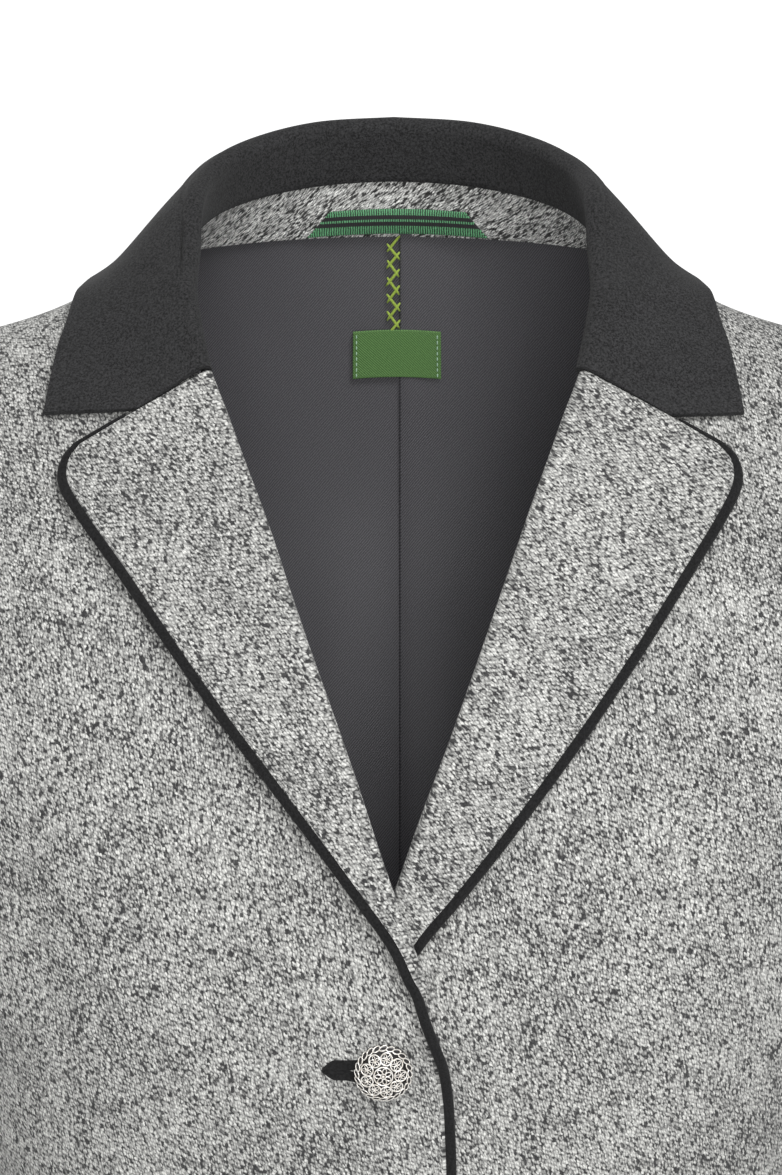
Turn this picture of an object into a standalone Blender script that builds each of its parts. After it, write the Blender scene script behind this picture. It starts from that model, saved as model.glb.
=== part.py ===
"""A woman's tyrolean loden jacket, worn and closed on its top button, with nobody in it.

Metres, +Z up, -Y is the front and +X is the wearer's left. The origin is midway between the
two points where the shoulder seams meet the collar. Every cloth piece is a wall that follows
one shared form, so neighbouring pieces meet along the same seam lines.
"""

import math

import bmesh
import bpy
import numpy as np
from mathutils import Vector
from mathutils.bvhtree import BVHTree

MM = 0.001
RIGHT, LEFT = -1.0, 1.0
SIDES = ((RIGHT, "right"), (LEFT, "left"))

# Cloth and trim, in metres
TWEED = 2.2 * MM
FELT = 2.4 * MM
SKIN = 1.0 * MM
GAP = 0.3 * MM
PIPING_WIDTH = 3.5 * MM
PIPING_HEIGHT = 2.8 * MM
PIPING_POINTS = {RIGHT: 52, LEFT: 32}

# The form under the cloth: one row a ring, from neck to hem, in millimetres. A ring is half an
# oval in front and half behind, from its side point. square under 1 fills out its corners, and
# back_fall under 1 keeps the back level for longer before it drops to the side.
FORM_COLUMNS = (
    "side_x", "side_y", "side_z", "front_y", "front_z", "back_y", "back_z", "square", "back_fall"
)
FORM_ROWS = (
    (73, 0, 31, -70, -66, 68, 46, 1.00, 0.7),             # neck, above the seam
    (76, 0, 8, -86, -99, 75, 25.5, 1.00, 0.7),            # neck seam
    (116, 2, -16.5, -97, -114, 87.5, -12, 0.99, 1.1),     # under the collar's edge
    (195, 5, -45, -114, -165, 106, -85, 0.92, 1.5),       # shoulder tip
    (204, 5, -100, -123, -200, 113, -140, 0.88, 1.5),
    (190, 5, -170, -128, -235, 115, -195, 0.85, 1.5),
    (172, 5, -245, -129.5, -268, 110, -250, 0.84, 1.5),   # underarm
    (141, 2, -390, -112, -392, 91, -390, 0.86, 1.5),      # waist
    (178, 0, -520, -117, -520, 115, -520, 0.86, 1.5),     # hip
    (188, 0, -600, -121, -600, 122, -600, 0.86, 1.5),     # hem
)
NECK, TIP, UNDERARM, HEM = 1, 3, 6, 9
HEM_Z = -599.9 * MM
FRONT_FALL = 1.5
ARMHOLE_FRONT = math.radians(34)
ARMHOLE_BACK = math.radians(30)

# Rows of the panels: along the shoulder, round the armhole and down the side
SHOULDER_LEVELS = (1, 1.2, 1.45, 1.75, 2.15, 2.6)
ARMHOLE_STEPS = 8
BODY_STEPS = 6
FRONT_COLUMNS = 8
BACK_COLUMNS = 7

# The cut edge of a front: just inside the lapel's roll, then beside the piping. Here and below,
# out is the distance from the centre front on the wearer's own side, in millimetres.
EDGE_COLUMNS = ("z", "out")
EDGE_ROWS = (
    (8, 76),
    (-5, 74.3),
    (-20, 72),
    (-35, 69),
    (-50, 63),
    (-90, 47.5),
    (-138, 29),
    (-184, 12),
    (-206, 5.7),
    (-225, -1.5),
    (-240, -7),
    (-252, -8.2),
    (-257, -10.6),
    (-263, -13),
    (-269.5, -15.2),
    (-281, -17),
    (-305, -18.2),
    (-600, -18.2),
)

# Lapel: points of the roll line and of the cut edge opposite, and how much wider the left one is
LAPEL_COLUMNS = ("roll_out", "roll_z", "edge_out", "edge_z", "left_wider")
LAPEL_ROWS = (
    (64.5, -35.5, 109.5, -62, 3.5),
    (62.3, -41, 113.2, -67, 4.2),
    (58.5, -50, 113.3, -74, 4.6),
    (53.5, -63, 106.5, -84, 6),
    (46, -82, 92.2, -102, 7.9),
    (37.7, -104, 75, -125, 9.3),
    (29.5, -126.5, 56.8, -149, 10.3),
    (21.2, -149, 40.1, -170, 11),
    (13, -172, 24.3, -190, 11),
    (5, -195.5, 10.1, -208.5, 9.9),
    (-3.2, -218, -0.9, -223.5, 8.2),
    (-9.6, -235, -8.2, -239, 7.4),
    (-13.6, -249, -12.6, -250.5, 7),
)
LAPEL_LAST = {RIGHT: 11.3, LEFT: 10.5}
LAPEL_STATIONS = 14
LAPEL_LEG = 3.3 * MM
LAPEL_FOLD = 2.0 * MM
LAPEL_LIFT = 2.4 * MM

# Layers where the fronts overlap
OVERLAP_UP = 1.7 * MM
OVERLAP_DOWN = 1.9 * MM
ROLL_LIFT = 4.2 * MM

# Collar: the fold line, the angle of the neck seam below it, and the lower edge of its fall,
# from the centre back to the front end, in millimetres and degrees
COLLAR_COLUMNS = ("fold_x", "fold_y", "fold_z", "seam_angle", "edge_x", "edge_y", "edge_z")
COLLAR_ROWS = (
    (0, 65, 44.5, 180, 0, 90, 0),
    (28, 60, 43, 157, 38, 86, -3),
    (51, 45, 38, 133, 74, 70, -8),
    (65, 25, 31, 111, 98, 40, -12),
    (70.5, 1, 21, 90, 112, 5, -16),
    (70, -24, -8, 73, 119, -23, -26),
    (66, -44, -30, 61, 122.5, -42, -48),
)
COLLAR_STATIONS = 10
COLLAR_FOLD = 2.9 * MM
COLLAR_LIFT = 2.9 * MM
COLLAR_GORGE = (64.5, -34.6)
COLLAR_TIP = (122.5, -51.8)
NOTCH = {RIGHT: (89, -49.6), LEFT: (95.5, -51.8)}
STAND_LEVEL = 0.92
FALL_BEND = 0.4
FALL_BULGE = 6.0 * MM

# Sleeves: the arm's axis and half-widths from the armpit to the cuff, in millimetres
SLEEVE_COLUMNS = ("x", "y", "z", "half_x", "half_y")
SLEEVE_ROWS = (
    (222, 5, -275, 46, 60),
    (235, 3, -345, 45, 56),
    (246, -3, -415, 43, 52),
    (255, -16, -500, 39, 47),
    (261, -35, -575, 36, 43),
    (265, -54, -635, 35, 41),
)
CAP_ROWS = 5
ARM_ROWS = 7
FRONT_SEAM = 6
BACK_SEAM = 5
SLEEVE_CLEAR = 3.0 * MM

# Inside the back
FACING_FOOT = 0.0
FACING_LEAST = 0.25
FACING_ANGLE = math.radians(104)
FACING_COLUMNS = 14
FACING_THICK = 1.4 * MM
INNER_CLEAR = 1.0 * MM
LINING_LEVEL = 1.6
LINING_FOOT = 8.65
LABEL_WIDTH, LABEL_HEIGHT = 33 * MM, 17 * MM
LABEL_X, LABEL_Z = 1.2 * MM, -42.5 * MM
LOOP_X, LOOP_TOP, LOOP_BOTTOM = 1.5 * MM, 12.2 * MM, 2.6 * MM
LOOP_TOP_WIDTH, LOOP_BOTTOM_WIDTH = 55 * MM, 74 * MM

# Buttons and their bound holes
BUTTON_X = -3.6 * MM
BUTTON_ZS = (-267 * MM, -357 * MM, -447 * MM)
BUTTON_PROFILE = ((10.0, 0.5), (9.6, 1.6), (8.2, 3.0), (5.8, 4.3), (3.0, 5.0))
BUTTON_TOP = 5.2 * MM
BUTTON_STAND = 1.2 * MM
SHANK_RADIUS = 1.2 * MM
SHANK_CLEAR = 0.9 * MM
BUTTON_SIDES = 20
HOLE_LEFT, HOLE_RIGHT = -24.7 * MM, -0.4 * MM
LIP_HEIGHT = 3.9 * MM
LIP_PROUD = 0.5 * MM
LIP_PARTING = 1.75 * MM


# ---------------------------------------------------------------- small helpers
def clear_scene():
    for obj in list(bpy.data.objects):
        bpy.data.objects.remove(obj, do_unlink=True)


def unit(vector):
    return vector / np.linalg.norm(vector, axis=-1, keepdims=True)


def ease(value, start, end):
    """0 at start and 1 at end, with a smooth rise between."""
    t = min(max((value - start) / (end - start), 0.0), 1.0)
    return t * t * (3 - 2 * t)


def spline(rows, position):
    """A smooth curve through the rows of a table, read at a position counted in rows."""
    table = np.asarray(rows, float)
    last = len(table) - 1
    position = min(max(position, 0.0), float(last))
    i = min(int(position), last - 1)
    t = position - i
    before = table[i - 1] if i > 0 else 2 * table[0] - table[1]
    after = table[i + 2] if i + 2 <= last else 2 * table[last] - table[last - 1]
    rise = table[i + 1] - before
    settle = 2 * before - 5 * table[i] + 4 * table[i + 1] - after
    bend = 3 * table[i] - before - 3 * table[i + 1] + after
    return 0.5 * (2 * table[i] + rise * t + settle * t * t + bend * t**3)


def resample(points, count):
    """The same line as a smooth curve with evenly spaced points."""
    points = np.asarray(points, float)
    fine = np.array([spline(points, k / 12) for k in range(12 * (len(points) - 1) + 1)])
    run = np.concatenate(((0.0,), np.cumsum(np.linalg.norm(np.diff(fine, axis=0), axis=1))))
    places = np.linspace(0.0, run[-1], count)
    return np.stack([np.interp(places, run, fine[:, k]) for k in range(fine.shape[1])], axis=1)


# ---------------------------------------------------------------- the form
def form_point(angle, level):
    """A point of the form: angle 0 is the centre front, 90 the left side and 180 the back."""
    ring = spline(FORM_ROWS, level)
    side_x, side_y, side_z, front_y, front_z, back_y, back_z = ring[:7] * MM
    across, deep = abs(math.sin(angle)) ** ring[7], abs(math.cos(angle)) ** ring[7]
    if math.cos(angle) >= 0:
        end_y, end_z, fall = front_y, front_z, abs(math.cos(angle)) ** FRONT_FALL
    else:
        end_y, end_z, fall = back_y, back_z, abs(math.cos(angle)) ** ring[8]
    x = math.copysign(side_x * across, math.sin(angle))
    return np.array((x, side_y + (end_y - side_y) * deep, side_z + (end_z - side_z) * fall))


def form_normal(angle, level):
    """The outward normal of the form, from its slopes round the ring and down."""
    step = math.radians(1.0)
    around = form_point(angle + step, level) - form_point(angle - step, level)
    down = form_point(angle, min(level + 0.02, HEM)) - form_point(angle, level - 0.02)
    return unit(np.cross(around, down)) * -1


def form_tree():
    """The form as a fine band of faces, to lay the outer pieces on."""
    rings, spokes = 135, 144
    points = []
    faces = []
    for i in range(rings + 1):
        for j in range(spokes):
            points.append(Vector(form_point(math.tau * j / spokes, HEM * i / rings)))
    for i in range(rings):
        for j in range(spokes):
            k = (j + 1) % spokes
            faces.append((i * spokes + j, i * spokes + k, (i + 1) * spokes + k, (i + 1) * spokes + j))
    return BVHTree.FromPolygons(points, faces)


def outward(place, normal):
    """The face normal of the form turned away from the middle of the body."""
    away = Vector((place.x, place.y, 0.3 * math.hypot(place.x, place.y)))
    return normal if normal.dot(away) >= 0 else -normal


def front_lift(side, out, z):
    """How far a front stands off the form where the two fronts overlap."""
    near = 1 - ease(out, 20 * MM, 80 * MM)
    if side == LEFT:
        return -OVERLAP_DOWN * near
    rolled = ease(z, -276 * MM, -240 * MM) * (1 - ease(out, -2 * MM, 45 * MM))
    return OVERLAP_UP * near + ROLL_LIFT * rolled


def on_front(tree, side, out, z, height):
    """The place seen from the front at (out, z), raised above that side's front; and its normal."""
    start, ahead = Vector((side * out, -1.0, z)), Vector((0.0, 1.0, 0.0))
    place, normal, _, _ = tree.ray_cast(start, ahead)
    normal = outward(place, normal)
    lift = front_lift(side, out, z) + height
    return np.array(place + normal * lift), np.array(normal)


def on_back(tree, x, z, depth):
    """A place inside the back at (x, z), at a depth under the form."""
    start, behind = Vector((x, 0.0, z)), Vector((0.0, 1.0, 0.0))
    place, normal, _, _ = tree.ray_cast(start, behind)
    return np.array(place - outward(place, normal) * depth)


def keep_clear(tree, point, lift, soft=1.2 * MM):
    """Moves a point out until it stands at least lift above the form, with a soft landing."""
    place, normal, _, _ = tree.find_nearest(Vector(point))
    normal = outward(place, normal)
    height = (Vector(point) - place).dot(normal)
    if height > lift + 6 * soft:
        return np.array(point)
    wanted = lift + soft * math.log1p(math.exp((height - lift) / soft))
    return np.array(Vector(point) + normal * (wanted - height))


# ---------------------------------------------------------------- making solids
def make_material(name, colour, roughness, metallic=0.0):
    material = bpy.data.materials.new(name)
    material.use_nodes = True
    shader = material.node_tree.nodes["Principled BSDF"]
    shader.inputs["Base Color"].default_value = (*colour, 1.0)
    shader.inputs["Roughness"].default_value = roughness
    shader.inputs["Metallic"].default_value = metallic
    return material


def add_object(name, points, faces, material):
    """A mesh object with its faces turned outwards."""
    mesh = bpy.data.meshes.new(name)
    mesh.from_pydata([tuple(map(float, point)) for point in points], [], faces)
    work = bmesh.new()
    work.from_mesh(mesh)
    bmesh.ops.recalc_face_normals(work, faces=work.faces)
    work.to_mesh(mesh)
    work.free()
    mesh.shade_smooth()
    mesh.set_sharp_from_angle(angle=math.radians(35))
    mesh.materials.append(material)
    obj = bpy.data.objects.new(name, mesh)
    bpy.context.collection.objects.link(obj)
    return obj


def wall(name, outer, inner, material):
    """The closed wall between two grids of points with the same rows and columns."""
    outer, inner = np.asarray(outer), np.asarray(inner)
    rows, columns = outer.shape[:2]
    points = np.concatenate((outer.reshape(-1, 3), inner.reshape(-1, 3)))
    under = rows * columns
    faces = []
    for i in range(rows - 1):
        for j in range(columns - 1):
            a, b = i * columns + j, (i + 1) * columns + j
            faces.append((a, a + 1, b + 1, b))
            faces.append((under + a, under + b, under + b + 1, under + a + 1))
    rim = list(range(columns))
    rim += [i * columns + columns - 1 for i in range(1, rows)]
    rim += [(rows - 1) * columns + j for j in range(columns - 2, -1, -1)]
    rim += [i * columns for i in range(rows - 2, 0, -1)]
    for a, b in zip(rim, rim[1:] + rim[:1]):
        faces.append((a, b, under + b, under + a))
    return add_object(name, points, faces, material)


def thick_wall(name, middle, thickness, material):
    """A wall of even thickness either side of a grid of points."""
    middle = np.asarray(middle)
    normals = unit(np.cross(np.gradient(middle, axis=1), np.gradient(middle, axis=0)))
    half = normals * thickness / 2
    return wall(name, middle + half, middle - half, material)


def trim_row(row, start, end):
    """Draws in the two ends of a row of points by the given lengths."""
    row = np.array(row)
    row[0] += unit(row[1] - row[0]) * start
    row[-1] += unit(row[-2] - row[-1]) * end
    return row


def tube(name, path, normals, widths, heights, material, sides=8):
    """A closed tube of oval section along a path; its width lies square to the normals."""
    path, normals = np.asarray(path), unit(np.asarray(normals))
    forward = unit(np.gradient(path, axis=0))
    across = unit(np.cross(forward, normals))
    up = unit(np.cross(across, forward))
    points = []
    for k in range(len(path)):
        for j in range(sides):
            turn = math.tau * j / sides
            sideways = across[k] * math.cos(turn) * widths[k] / 2
            points.append(path[k] + sideways + up[k] * math.sin(turn) * heights[k] / 2)
    faces = []
    for k in range(len(path) - 1):
        for j in range(sides):
            a, b = k * sides + j, k * sides + (j + 1) % sides
            faces.append((a, b, b + sides, a + sides))
    faces.append(tuple(range(sides)))
    faces.append(tuple((len(path) - 1) * sides + j for j in range(sides)))
    return add_object(name, points, faces, material)


# ---------------------------------------------------------------- panel rows and edges
def armhole_level(step):
    """The ring that the armhole crosses at a step from the shoulder tip to the underarm."""
    middle, half = (TIP + UNDERARM) / 2, (UNDERARM - TIP) / 2
    return middle - half * math.cos(math.pi * step / ARMHOLE_STEPS)


def armhole_angle(step, depth):
    """How far round from the side the armhole lies at that step."""
    return depth * math.sin(math.pi * step / ARMHOLE_STEPS)


def panel_rows(depth):
    """(level, angle of the outer edge from the side) for each row of a body panel."""
    rows = [(level, 0.0) for level in SHOULDER_LEVELS]
    for step in range(ARMHOLE_STEPS + 1):
        rows.append((armhole_level(step), armhole_angle(step, depth)))
    for i in range(1, BODY_STEPS + 1):
        rows.append((UNDERARM + (HEM - UNDERARM) * i / BODY_STEPS, 0.0))
    return rows


def edge_out(z):
    """Where the cut edge of a front lies at a height."""
    table = np.array(EDGE_ROWS) * MM
    return float(np.interp(-z, -table[:, 0], table[:, 1]))


def front_edge_angle(level):
    """The angle at which a ring meets the cut edge of the front, found by halving."""
    low, high = math.radians(-20), math.radians(90)
    for _ in range(40):
        middle = (low + high) / 2
        point = form_point(middle, level)
        if point[0] > edge_out(point[2]):
            high = middle
        else:
            low = middle
    return (low + high) / 2


def front_rows():
    """(level, angle) at both ends of each row of a front: at its cut edge and at its outer edge.

    Above the underarm the rows are spread evenly down the cut edge, so they fan out from there.
    """
    levels = np.linspace(NECK, UNDERARM, 80)
    angles = np.array([front_edge_angle(level) for level in levels])
    heights = np.array([form_point(*place)[2] for place in zip(angles, levels)])
    rows = panel_rows(ARMHOLE_FRONT)
    above = sum(level < UNDERARM for level, _ in rows)
    ends = []
    for i, (level, notch) in enumerate(rows):
        inner = (front_edge_angle(level), level)
        if i < above:
            z = heights[0] + (heights[-1] - heights[0]) * i / above
            inner = (np.interp(-z, -heights, angles), np.interp(-z, -heights, levels))
        ends.append((np.array(inner), np.array((math.pi / 2 - notch, level))))
    return ends


# ---------------------------------------------------------------- body panels
def front_grids(side):
    """Outer and inner points of one front, row by row from the neck to the hem."""
    outer, inner = [], []
    for start, end in front_rows():
        row, under = [], []
        for j in range(FRONT_COLUMNS + 1):
            angle, level = start + (end - start) * j / FRONT_COLUMNS
            point, normal = form_point(angle, level), form_normal(angle, level)
            lift = front_lift(side, point[0], point[2])
            row.append((point + normal * lift) * (side, 1, 1))
            under.append((point + normal * (lift - TWEED)) * (side, 1, 1))
        outer.append(trim_row(row, 0.0, GAP / 2))
        inner.append(trim_row(under, 0.0, GAP / 2))
    return outer, inner


def back_point(side, angle, level, depth):
    """A point of the back at a depth under the form; the angle runs from the centre back."""
    turn = math.pi - angle
    return (form_point(turn, level) - form_normal(turn, level) * depth) * (side, 1, 1)


def back_grid(side, depth, rows):
    """Rows of points across one half of the back, from its centre seam to its outer edge."""
    grid = []
    for level, notch in rows:
        end = math.pi / 2 - notch
        angles = [end * j / BACK_COLUMNS for j in range(BACK_COLUMNS + 1)]
        row = [back_point(side, angle, level, depth) for angle in angles]
        grid.append(trim_row(row, GAP / 2, GAP / 2))
    return grid


def make_back(side, name, material):
    rows = panel_rows(ARMHOLE_BACK)
    return wall("back_" + name, back_grid(side, 0.0, rows), back_grid(side, TWEED, rows), material)


def hole_cutter(tree, z):
    """A block through the right front, where a buttonhole is bound."""
    middle = (HOLE_LEFT + HOLE_RIGHT) / 2
    place, _ = on_front(tree, RIGHT, -middle, z, 0.0)
    mesh = bpy.data.meshes.new("cut_buttonhole")
    work = bmesh.new()
    bmesh.ops.create_cube(work, size=1.0)
    size = (HOLE_RIGHT - HOLE_LEFT + 3 * GAP, 14 * MM, 2 * LIP_HEIGHT + 3 * GAP)
    bmesh.ops.scale(work, vec=size, verts=work.verts)
    work.to_mesh(mesh)
    work.free()
    cutter = bpy.data.objects.new("cut_buttonhole", mesh)
    cutter.location = place
    cutter.hide_render = True
    cutter.display_type = "WIRE"
    bpy.context.collection.objects.link(cutter)
    return cutter


def make_fronts(tree, material):
    for side, name in SIDES:
        front = wall("front_" + name, *front_grids(side), material)
        if side == LEFT:
            continue
        for z in BUTTON_ZS:
            cut = front.modifiers.new("buttonhole", "BOOLEAN")
            cut.operation = "DIFFERENCE"
            cut.solver = "EXACT"
            cut.object = hole_cutter(tree, z)


# ---------------------------------------------------------------- lapels and piping
def lapel_ends(side, position):
    """The roll point and the edge point (out, z) of a lapel at a place along its table."""
    roll_out, roll_z, edge_away, edge_z, wider = spline(LAPEL_ROWS, position) * MM
    if side == LEFT:
        edge_away += wider
    return np.array((roll_out, roll_z)), np.array((edge_away, edge_z))


def folded_section(tree, side, line, leg, radius, lift, leg_steps, top_steps):
    """The middle of a cloth that comes out of the front's edge, folds, and lies over the front.

    line is the (out, z) route of the upper layer from the fold to its edge. The lower layer
    runs under the first part of it, for the length of leg.
    """
    line = np.asarray(line)
    lengths = np.concatenate(((0.0,), np.cumsum(np.linalg.norm(np.diff(line, axis=0), axis=1))))
    low = -TWEED / 2
    section = [(leg + (radius - leg) * k / leg_steps, low) for k in range(leg_steps)]
    for k in range(5):
        turn = math.pi * k / 4
        across, up = radius * (1 - math.sin(turn)), radius * (1 - math.cos(turn))
        section.append((across, low + up))
    top = low + 2 * radius
    for k in range(1, top_steps + 1):
        t = k / top_steps
        section.append((radius + (lengths[-1] - radius) * t, top + (lift - top) * ease(t, 0.0, 0.7)))
    points = []
    for run, height in section:
        out, z = (np.interp(run, lengths, line[:, k]) for k in range(2))
        points.append(on_front(tree, side, out, z, height)[0])
    return np.array(points)


def make_lapel(tree, side, name, material):
    grid = []
    for k in range(LAPEL_STATIONS + 1):
        line = lapel_ends(side, LAPEL_LAST[side] * k / LAPEL_STATIONS)
        grid.append(folded_section(tree, side, line, LAPEL_LEG, LAPEL_FOLD, LAPEL_LIFT, 1, 4))
    thick_wall("lapel_" + name, grid, TWEED, material)


def piping_route(side):
    """(out, z, height, width) along the piping: the lapel's edges, then the right front's edge."""
    roll, corner = lapel_ends(side, 0.0)
    notch = np.array(NOTCH[side]) * MM
    route = []
    for t in (0.2, 0.55):
        place = notch + (corner - notch) * t
        route.append((place[0], place[1] + 0.6 * MM, LAPEL_LIFT, 0.55))
    for k in range(25):
        position = LAPEL_LAST[side] * k / 24
        _, here = lapel_ends(side, position)
        _, ahead = lapel_ends(side, position + 0.02)
        _, behind = lapel_ends(side, position - 0.02)
        run = unit(ahead - behind)
        away = np.array((-run[1], run[0])) * (GAP + PIPING_WIDTH / 2)
        place = here + away
        route.append((place[0], place[1], LAPEL_LIFT, min(1.0, 0.6 + 0.2 * position)))
    if side == LEFT:
        return route
    for z in (-263, -270, -278, -290, -310, -350, -400, -450, -500, -550, -600):
        out = edge_out(z * MM) - 2 * GAP - PIPING_WIDTH / 2
        height = LAPEL_LIFT - (LAPEL_LIFT + TWEED / 2) * ease(-z, 257, 270)
        route.append((out, z * MM, height, 1.0))
    return route


def make_piping(tree, side, name, material):
    route = resample(piping_route(side), PIPING_POINTS[side])
    path, normals = [], []
    for out, z, height, _ in route:
        point, normal = on_front(tree, side, out, max(z, HEM_Z), height)
        path.append(point)
        normals.append(normal)
    widths = route[:, 3] * PIPING_WIDTH
    heights = route[:, 3] * PIPING_HEIGHT
    tube("piping_" + name, path, normals, widths, heights, material, sides=6)


# ---------------------------------------------------------------- collar
def collar_section(tree, side, position):
    """The middle of the collar across one station: up the stand, over the fold, down the fall."""
    row = spline(COLLAR_ROWS, position)
    fold, edge = row[0:3] * MM * (side, 1, 1), row[4:7] * MM * (side, 1, 1)
    angle = math.radians(row[3])
    foot = form_point(angle, STAND_LEVEL) - form_normal(angle, STAND_LEVEL) * TWEED / 2
    foot *= (side, 1, 1)
    apex = -unit(unit(foot - fold) + unit(edge - fold))
    centre = fold - apex * COLLAR_FOLD
    away = (edge - centre) - apex * ((edge - centre) @ apex)
    away = unit(away)
    section = []
    for k in range(2):
        start = centre - away * COLLAR_FOLD
        section.append(foot + (start - foot) * k / 2)
    for k in range(5):
        turn = math.pi * k / 4
        section.append(centre + COLLAR_FOLD * (apex * math.sin(turn) - away * math.cos(turn)))
    start = section[-1]
    bend = start - apex * np.linalg.norm(edge - start) * FALL_BEND + away * FALL_BULGE
    for k in range(1, 7):
        t = k / 6
        point = start * (1 - t) ** 2 + bend * 2 * t * (1 - t) + edge * t * t
        section.append(keep_clear(tree, point, COLLAR_LIFT))
    return np.array(section)


def collar_half(tree, side):
    gorge, notch, tip = np.array(COLLAR_GORGE), np.array(NOTCH[side]), np.array(COLLAR_TIP)
    middle = gorge + (tip - gorge) * (notch[0] - gorge[0]) / (tip[0] - gorge[0])
    last = len(COLLAR_ROWS) - 1
    sections = []
    for k in range(COLLAR_STATIONS + 1):
        position = last * k / COLLAR_STATIONS
        section = collar_section(tree, side, position)
        blend = ease(position, last - 1.6, last - 0.9)
        if blend > 0:
            row = spline(COLLAR_ROWS, position)
            fold, edge = row[[0, 2]], row[[4, 6]]
            near_end = ease(position, last - 1.0, last)
            fold, edge = fold + (gorge - fold) * near_end, edge + (tip - edge) * near_end
            share = (notch[0] - gorge[0]) / (tip[0] - gorge[0])
            bend = fold + (edge - fold) * share + (notch - middle) * near_end**2
            line = np.array((fold, bend, edge)) * MM
            flat = folded_section(tree, side, line, LAPEL_LEG, COLLAR_FOLD, COLLAR_LIFT, 2, 6)
            section = section * (1 - blend) + flat * blend
        sections.append(section)
    return sections


def make_collar(tree, material):
    right, left = collar_half(tree, RIGHT), collar_half(tree, LEFT)
    thick_wall("collar", right[::-1] + left[1:], FELT, material)


# ---------------------------------------------------------------- sleeves
def arm_ring(side, position, turn):
    """A point of the sleeve below the armpit; turn 0 is outside, 90 in front and 180 inside."""
    x, y, z, half_x, half_y = spline(SLEEVE_ROWS, position) * MM
    ahead = spline(SLEEVE_ROWS, position + 0.05) - spline(SLEEVE_ROWS, position - 0.05)
    lean_x, lean_y = ahead[0] / ahead[2], ahead[1] / ahead[2]
    step_x, step_y = half_x * math.cos(turn), -half_y * math.sin(turn)
    point = np.array((x + step_x, y + step_y, z - lean_x * step_x - lean_y * step_y))
    return point * (side, 1, 1)


def armhole_point(side, step):
    """A point of the armhole seam; steps count from the shoulder tip, in front positive."""
    depth = ARMHOLE_FRONT if step >= 0 else ARMHOLE_BACK
    notch = armhole_angle(abs(step), depth)
    angle = math.pi / 2 - notch if step >= 0 else math.pi / 2 + notch
    return form_point(angle, armhole_level(abs(step))) * (side, 1, 1)


def cap_direction(side, turn):
    """The way the sleeve leaves the armhole: outwards at the top, downwards under the arm."""
    top = (1 + math.cos(turn)) / 2
    above = np.array((1.0, 0.0, -0.30)) * 0.17
    below = np.array((0.20, 0.0, -1.0)) * 0.04
    beside = np.array((0.25, -0.45 * math.sin(turn), -0.55)) * 0.10 * abs(math.sin(turn))
    return (above * top * top + below * (1 - top) + beside) * (side, 1, 1)


def sleeve_column(tree, side, step):
    """The outer surface of the sleeve from one armhole point down to the cuff."""
    turn = math.pi * step / ARMHOLE_STEPS
    start, leave = armhole_point(side, step), cap_direction(side, turn)
    end = arm_ring(side, 0.0, turn)
    arrive = (arm_ring(side, 0.05, turn) - arm_ring(side, 0.0, turn)) * 20
    arrive = unit(arrive) * np.linalg.norm(end - start) * 0.8
    column = [start + unit(leave) * GAP]
    for k in range(1, CAP_ROWS + 1):
        t = k / CAP_ROWS
        a, b = 2 * t**3 - 3 * t**2 + 1, t**3 - 2 * t**2 + t
        c, d = -2 * t**3 + 3 * t**2, t**3 - t**2
        point = a * start + b * leave + c * end + d * arrive
        column.append(keep_clear(tree, point, SLEEVE_CLEAR * t, soft=0.4 * MM))
    last = len(SLEEVE_ROWS) - 1
    for k in range(1, ARM_ROWS + 1):
        point = arm_ring(side, last * k / ARM_ROWS, turn)
        column.append(keep_clear(tree, point, SLEEVE_CLEAR, soft=0.4 * MM))
    return column


def make_sleeve(tree, side, name, material):
    """The top sleeve over the arm and the under sleeve below it, which meet at two seams."""
    steps = ARMHOLE_STEPS
    spans = {"top": (-BACK_SEAM, FRONT_SEAM), "under": (FRONT_SEAM, 2 * steps - BACK_SEAM)}
    columns = {step: sleeve_column(tree, side, step) for step in range(-steps, steps + 1)}
    ring = [columns[step] for step in range(-steps, steps)]
    around = np.array([ring[-1]] + ring + [ring[0]])
    normals = np.cross(np.gradient(around, axis=1), np.gradient(around, axis=0))[1:-1]
    normals = unit(normals)
    outer = np.array(ring)
    axis = outer.mean(axis=0)
    if ((outer - axis) * normals).sum() < 0:
        normals = -normals
    inner = outer - normals * TWEED
    for part, (first, last) in spans.items():
        places = [(step + steps) % (2 * steps) for step in range(first, last + 1)]
        grids = []
        for surface in (outer, inner):
            rows = np.swapaxes(surface[places], 0, 1)
            grids.append([trim_row(row, GAP, GAP) for row in rows])
        wall(part + "_sleeve_" + name, *grids, material)


# ---------------------------------------------------------------- inside the neck
def facing_foot(angle):
    """The level of the facing's lower edge at an angle from the centre back."""
    low, high = float(NECK), NECK + 1.0
    for _ in range(30):
        middle = (low + high) / 2
        if form_point(math.pi - angle, middle)[2] > FACING_FOOT:
            low = middle
        else:
            high = middle
    return max(low, NECK + FACING_LEAST)


def make_facing(material):
    outer, inner = [], []
    depth = TWEED + INNER_CLEAR
    for k in range(4):
        row, under = [], []
        for j in range(FACING_COLUMNS + 1):
            angle = FACING_ANGLE * (2 * j / FACING_COLUMNS - 1)
            side = math.copysign(1.0, angle)
            foot = facing_foot(abs(angle)) - 0.01
            level = NECK + 0.01 + (foot - NECK - 0.01) * k / 3
            row.append(back_point(side, abs(angle), level, depth))
            under.append(back_point(side, abs(angle), level, depth + FACING_THICK))
        outer.append(row)
        inner.append(under)
    wall("neck_facing", outer, inner, material)


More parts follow.
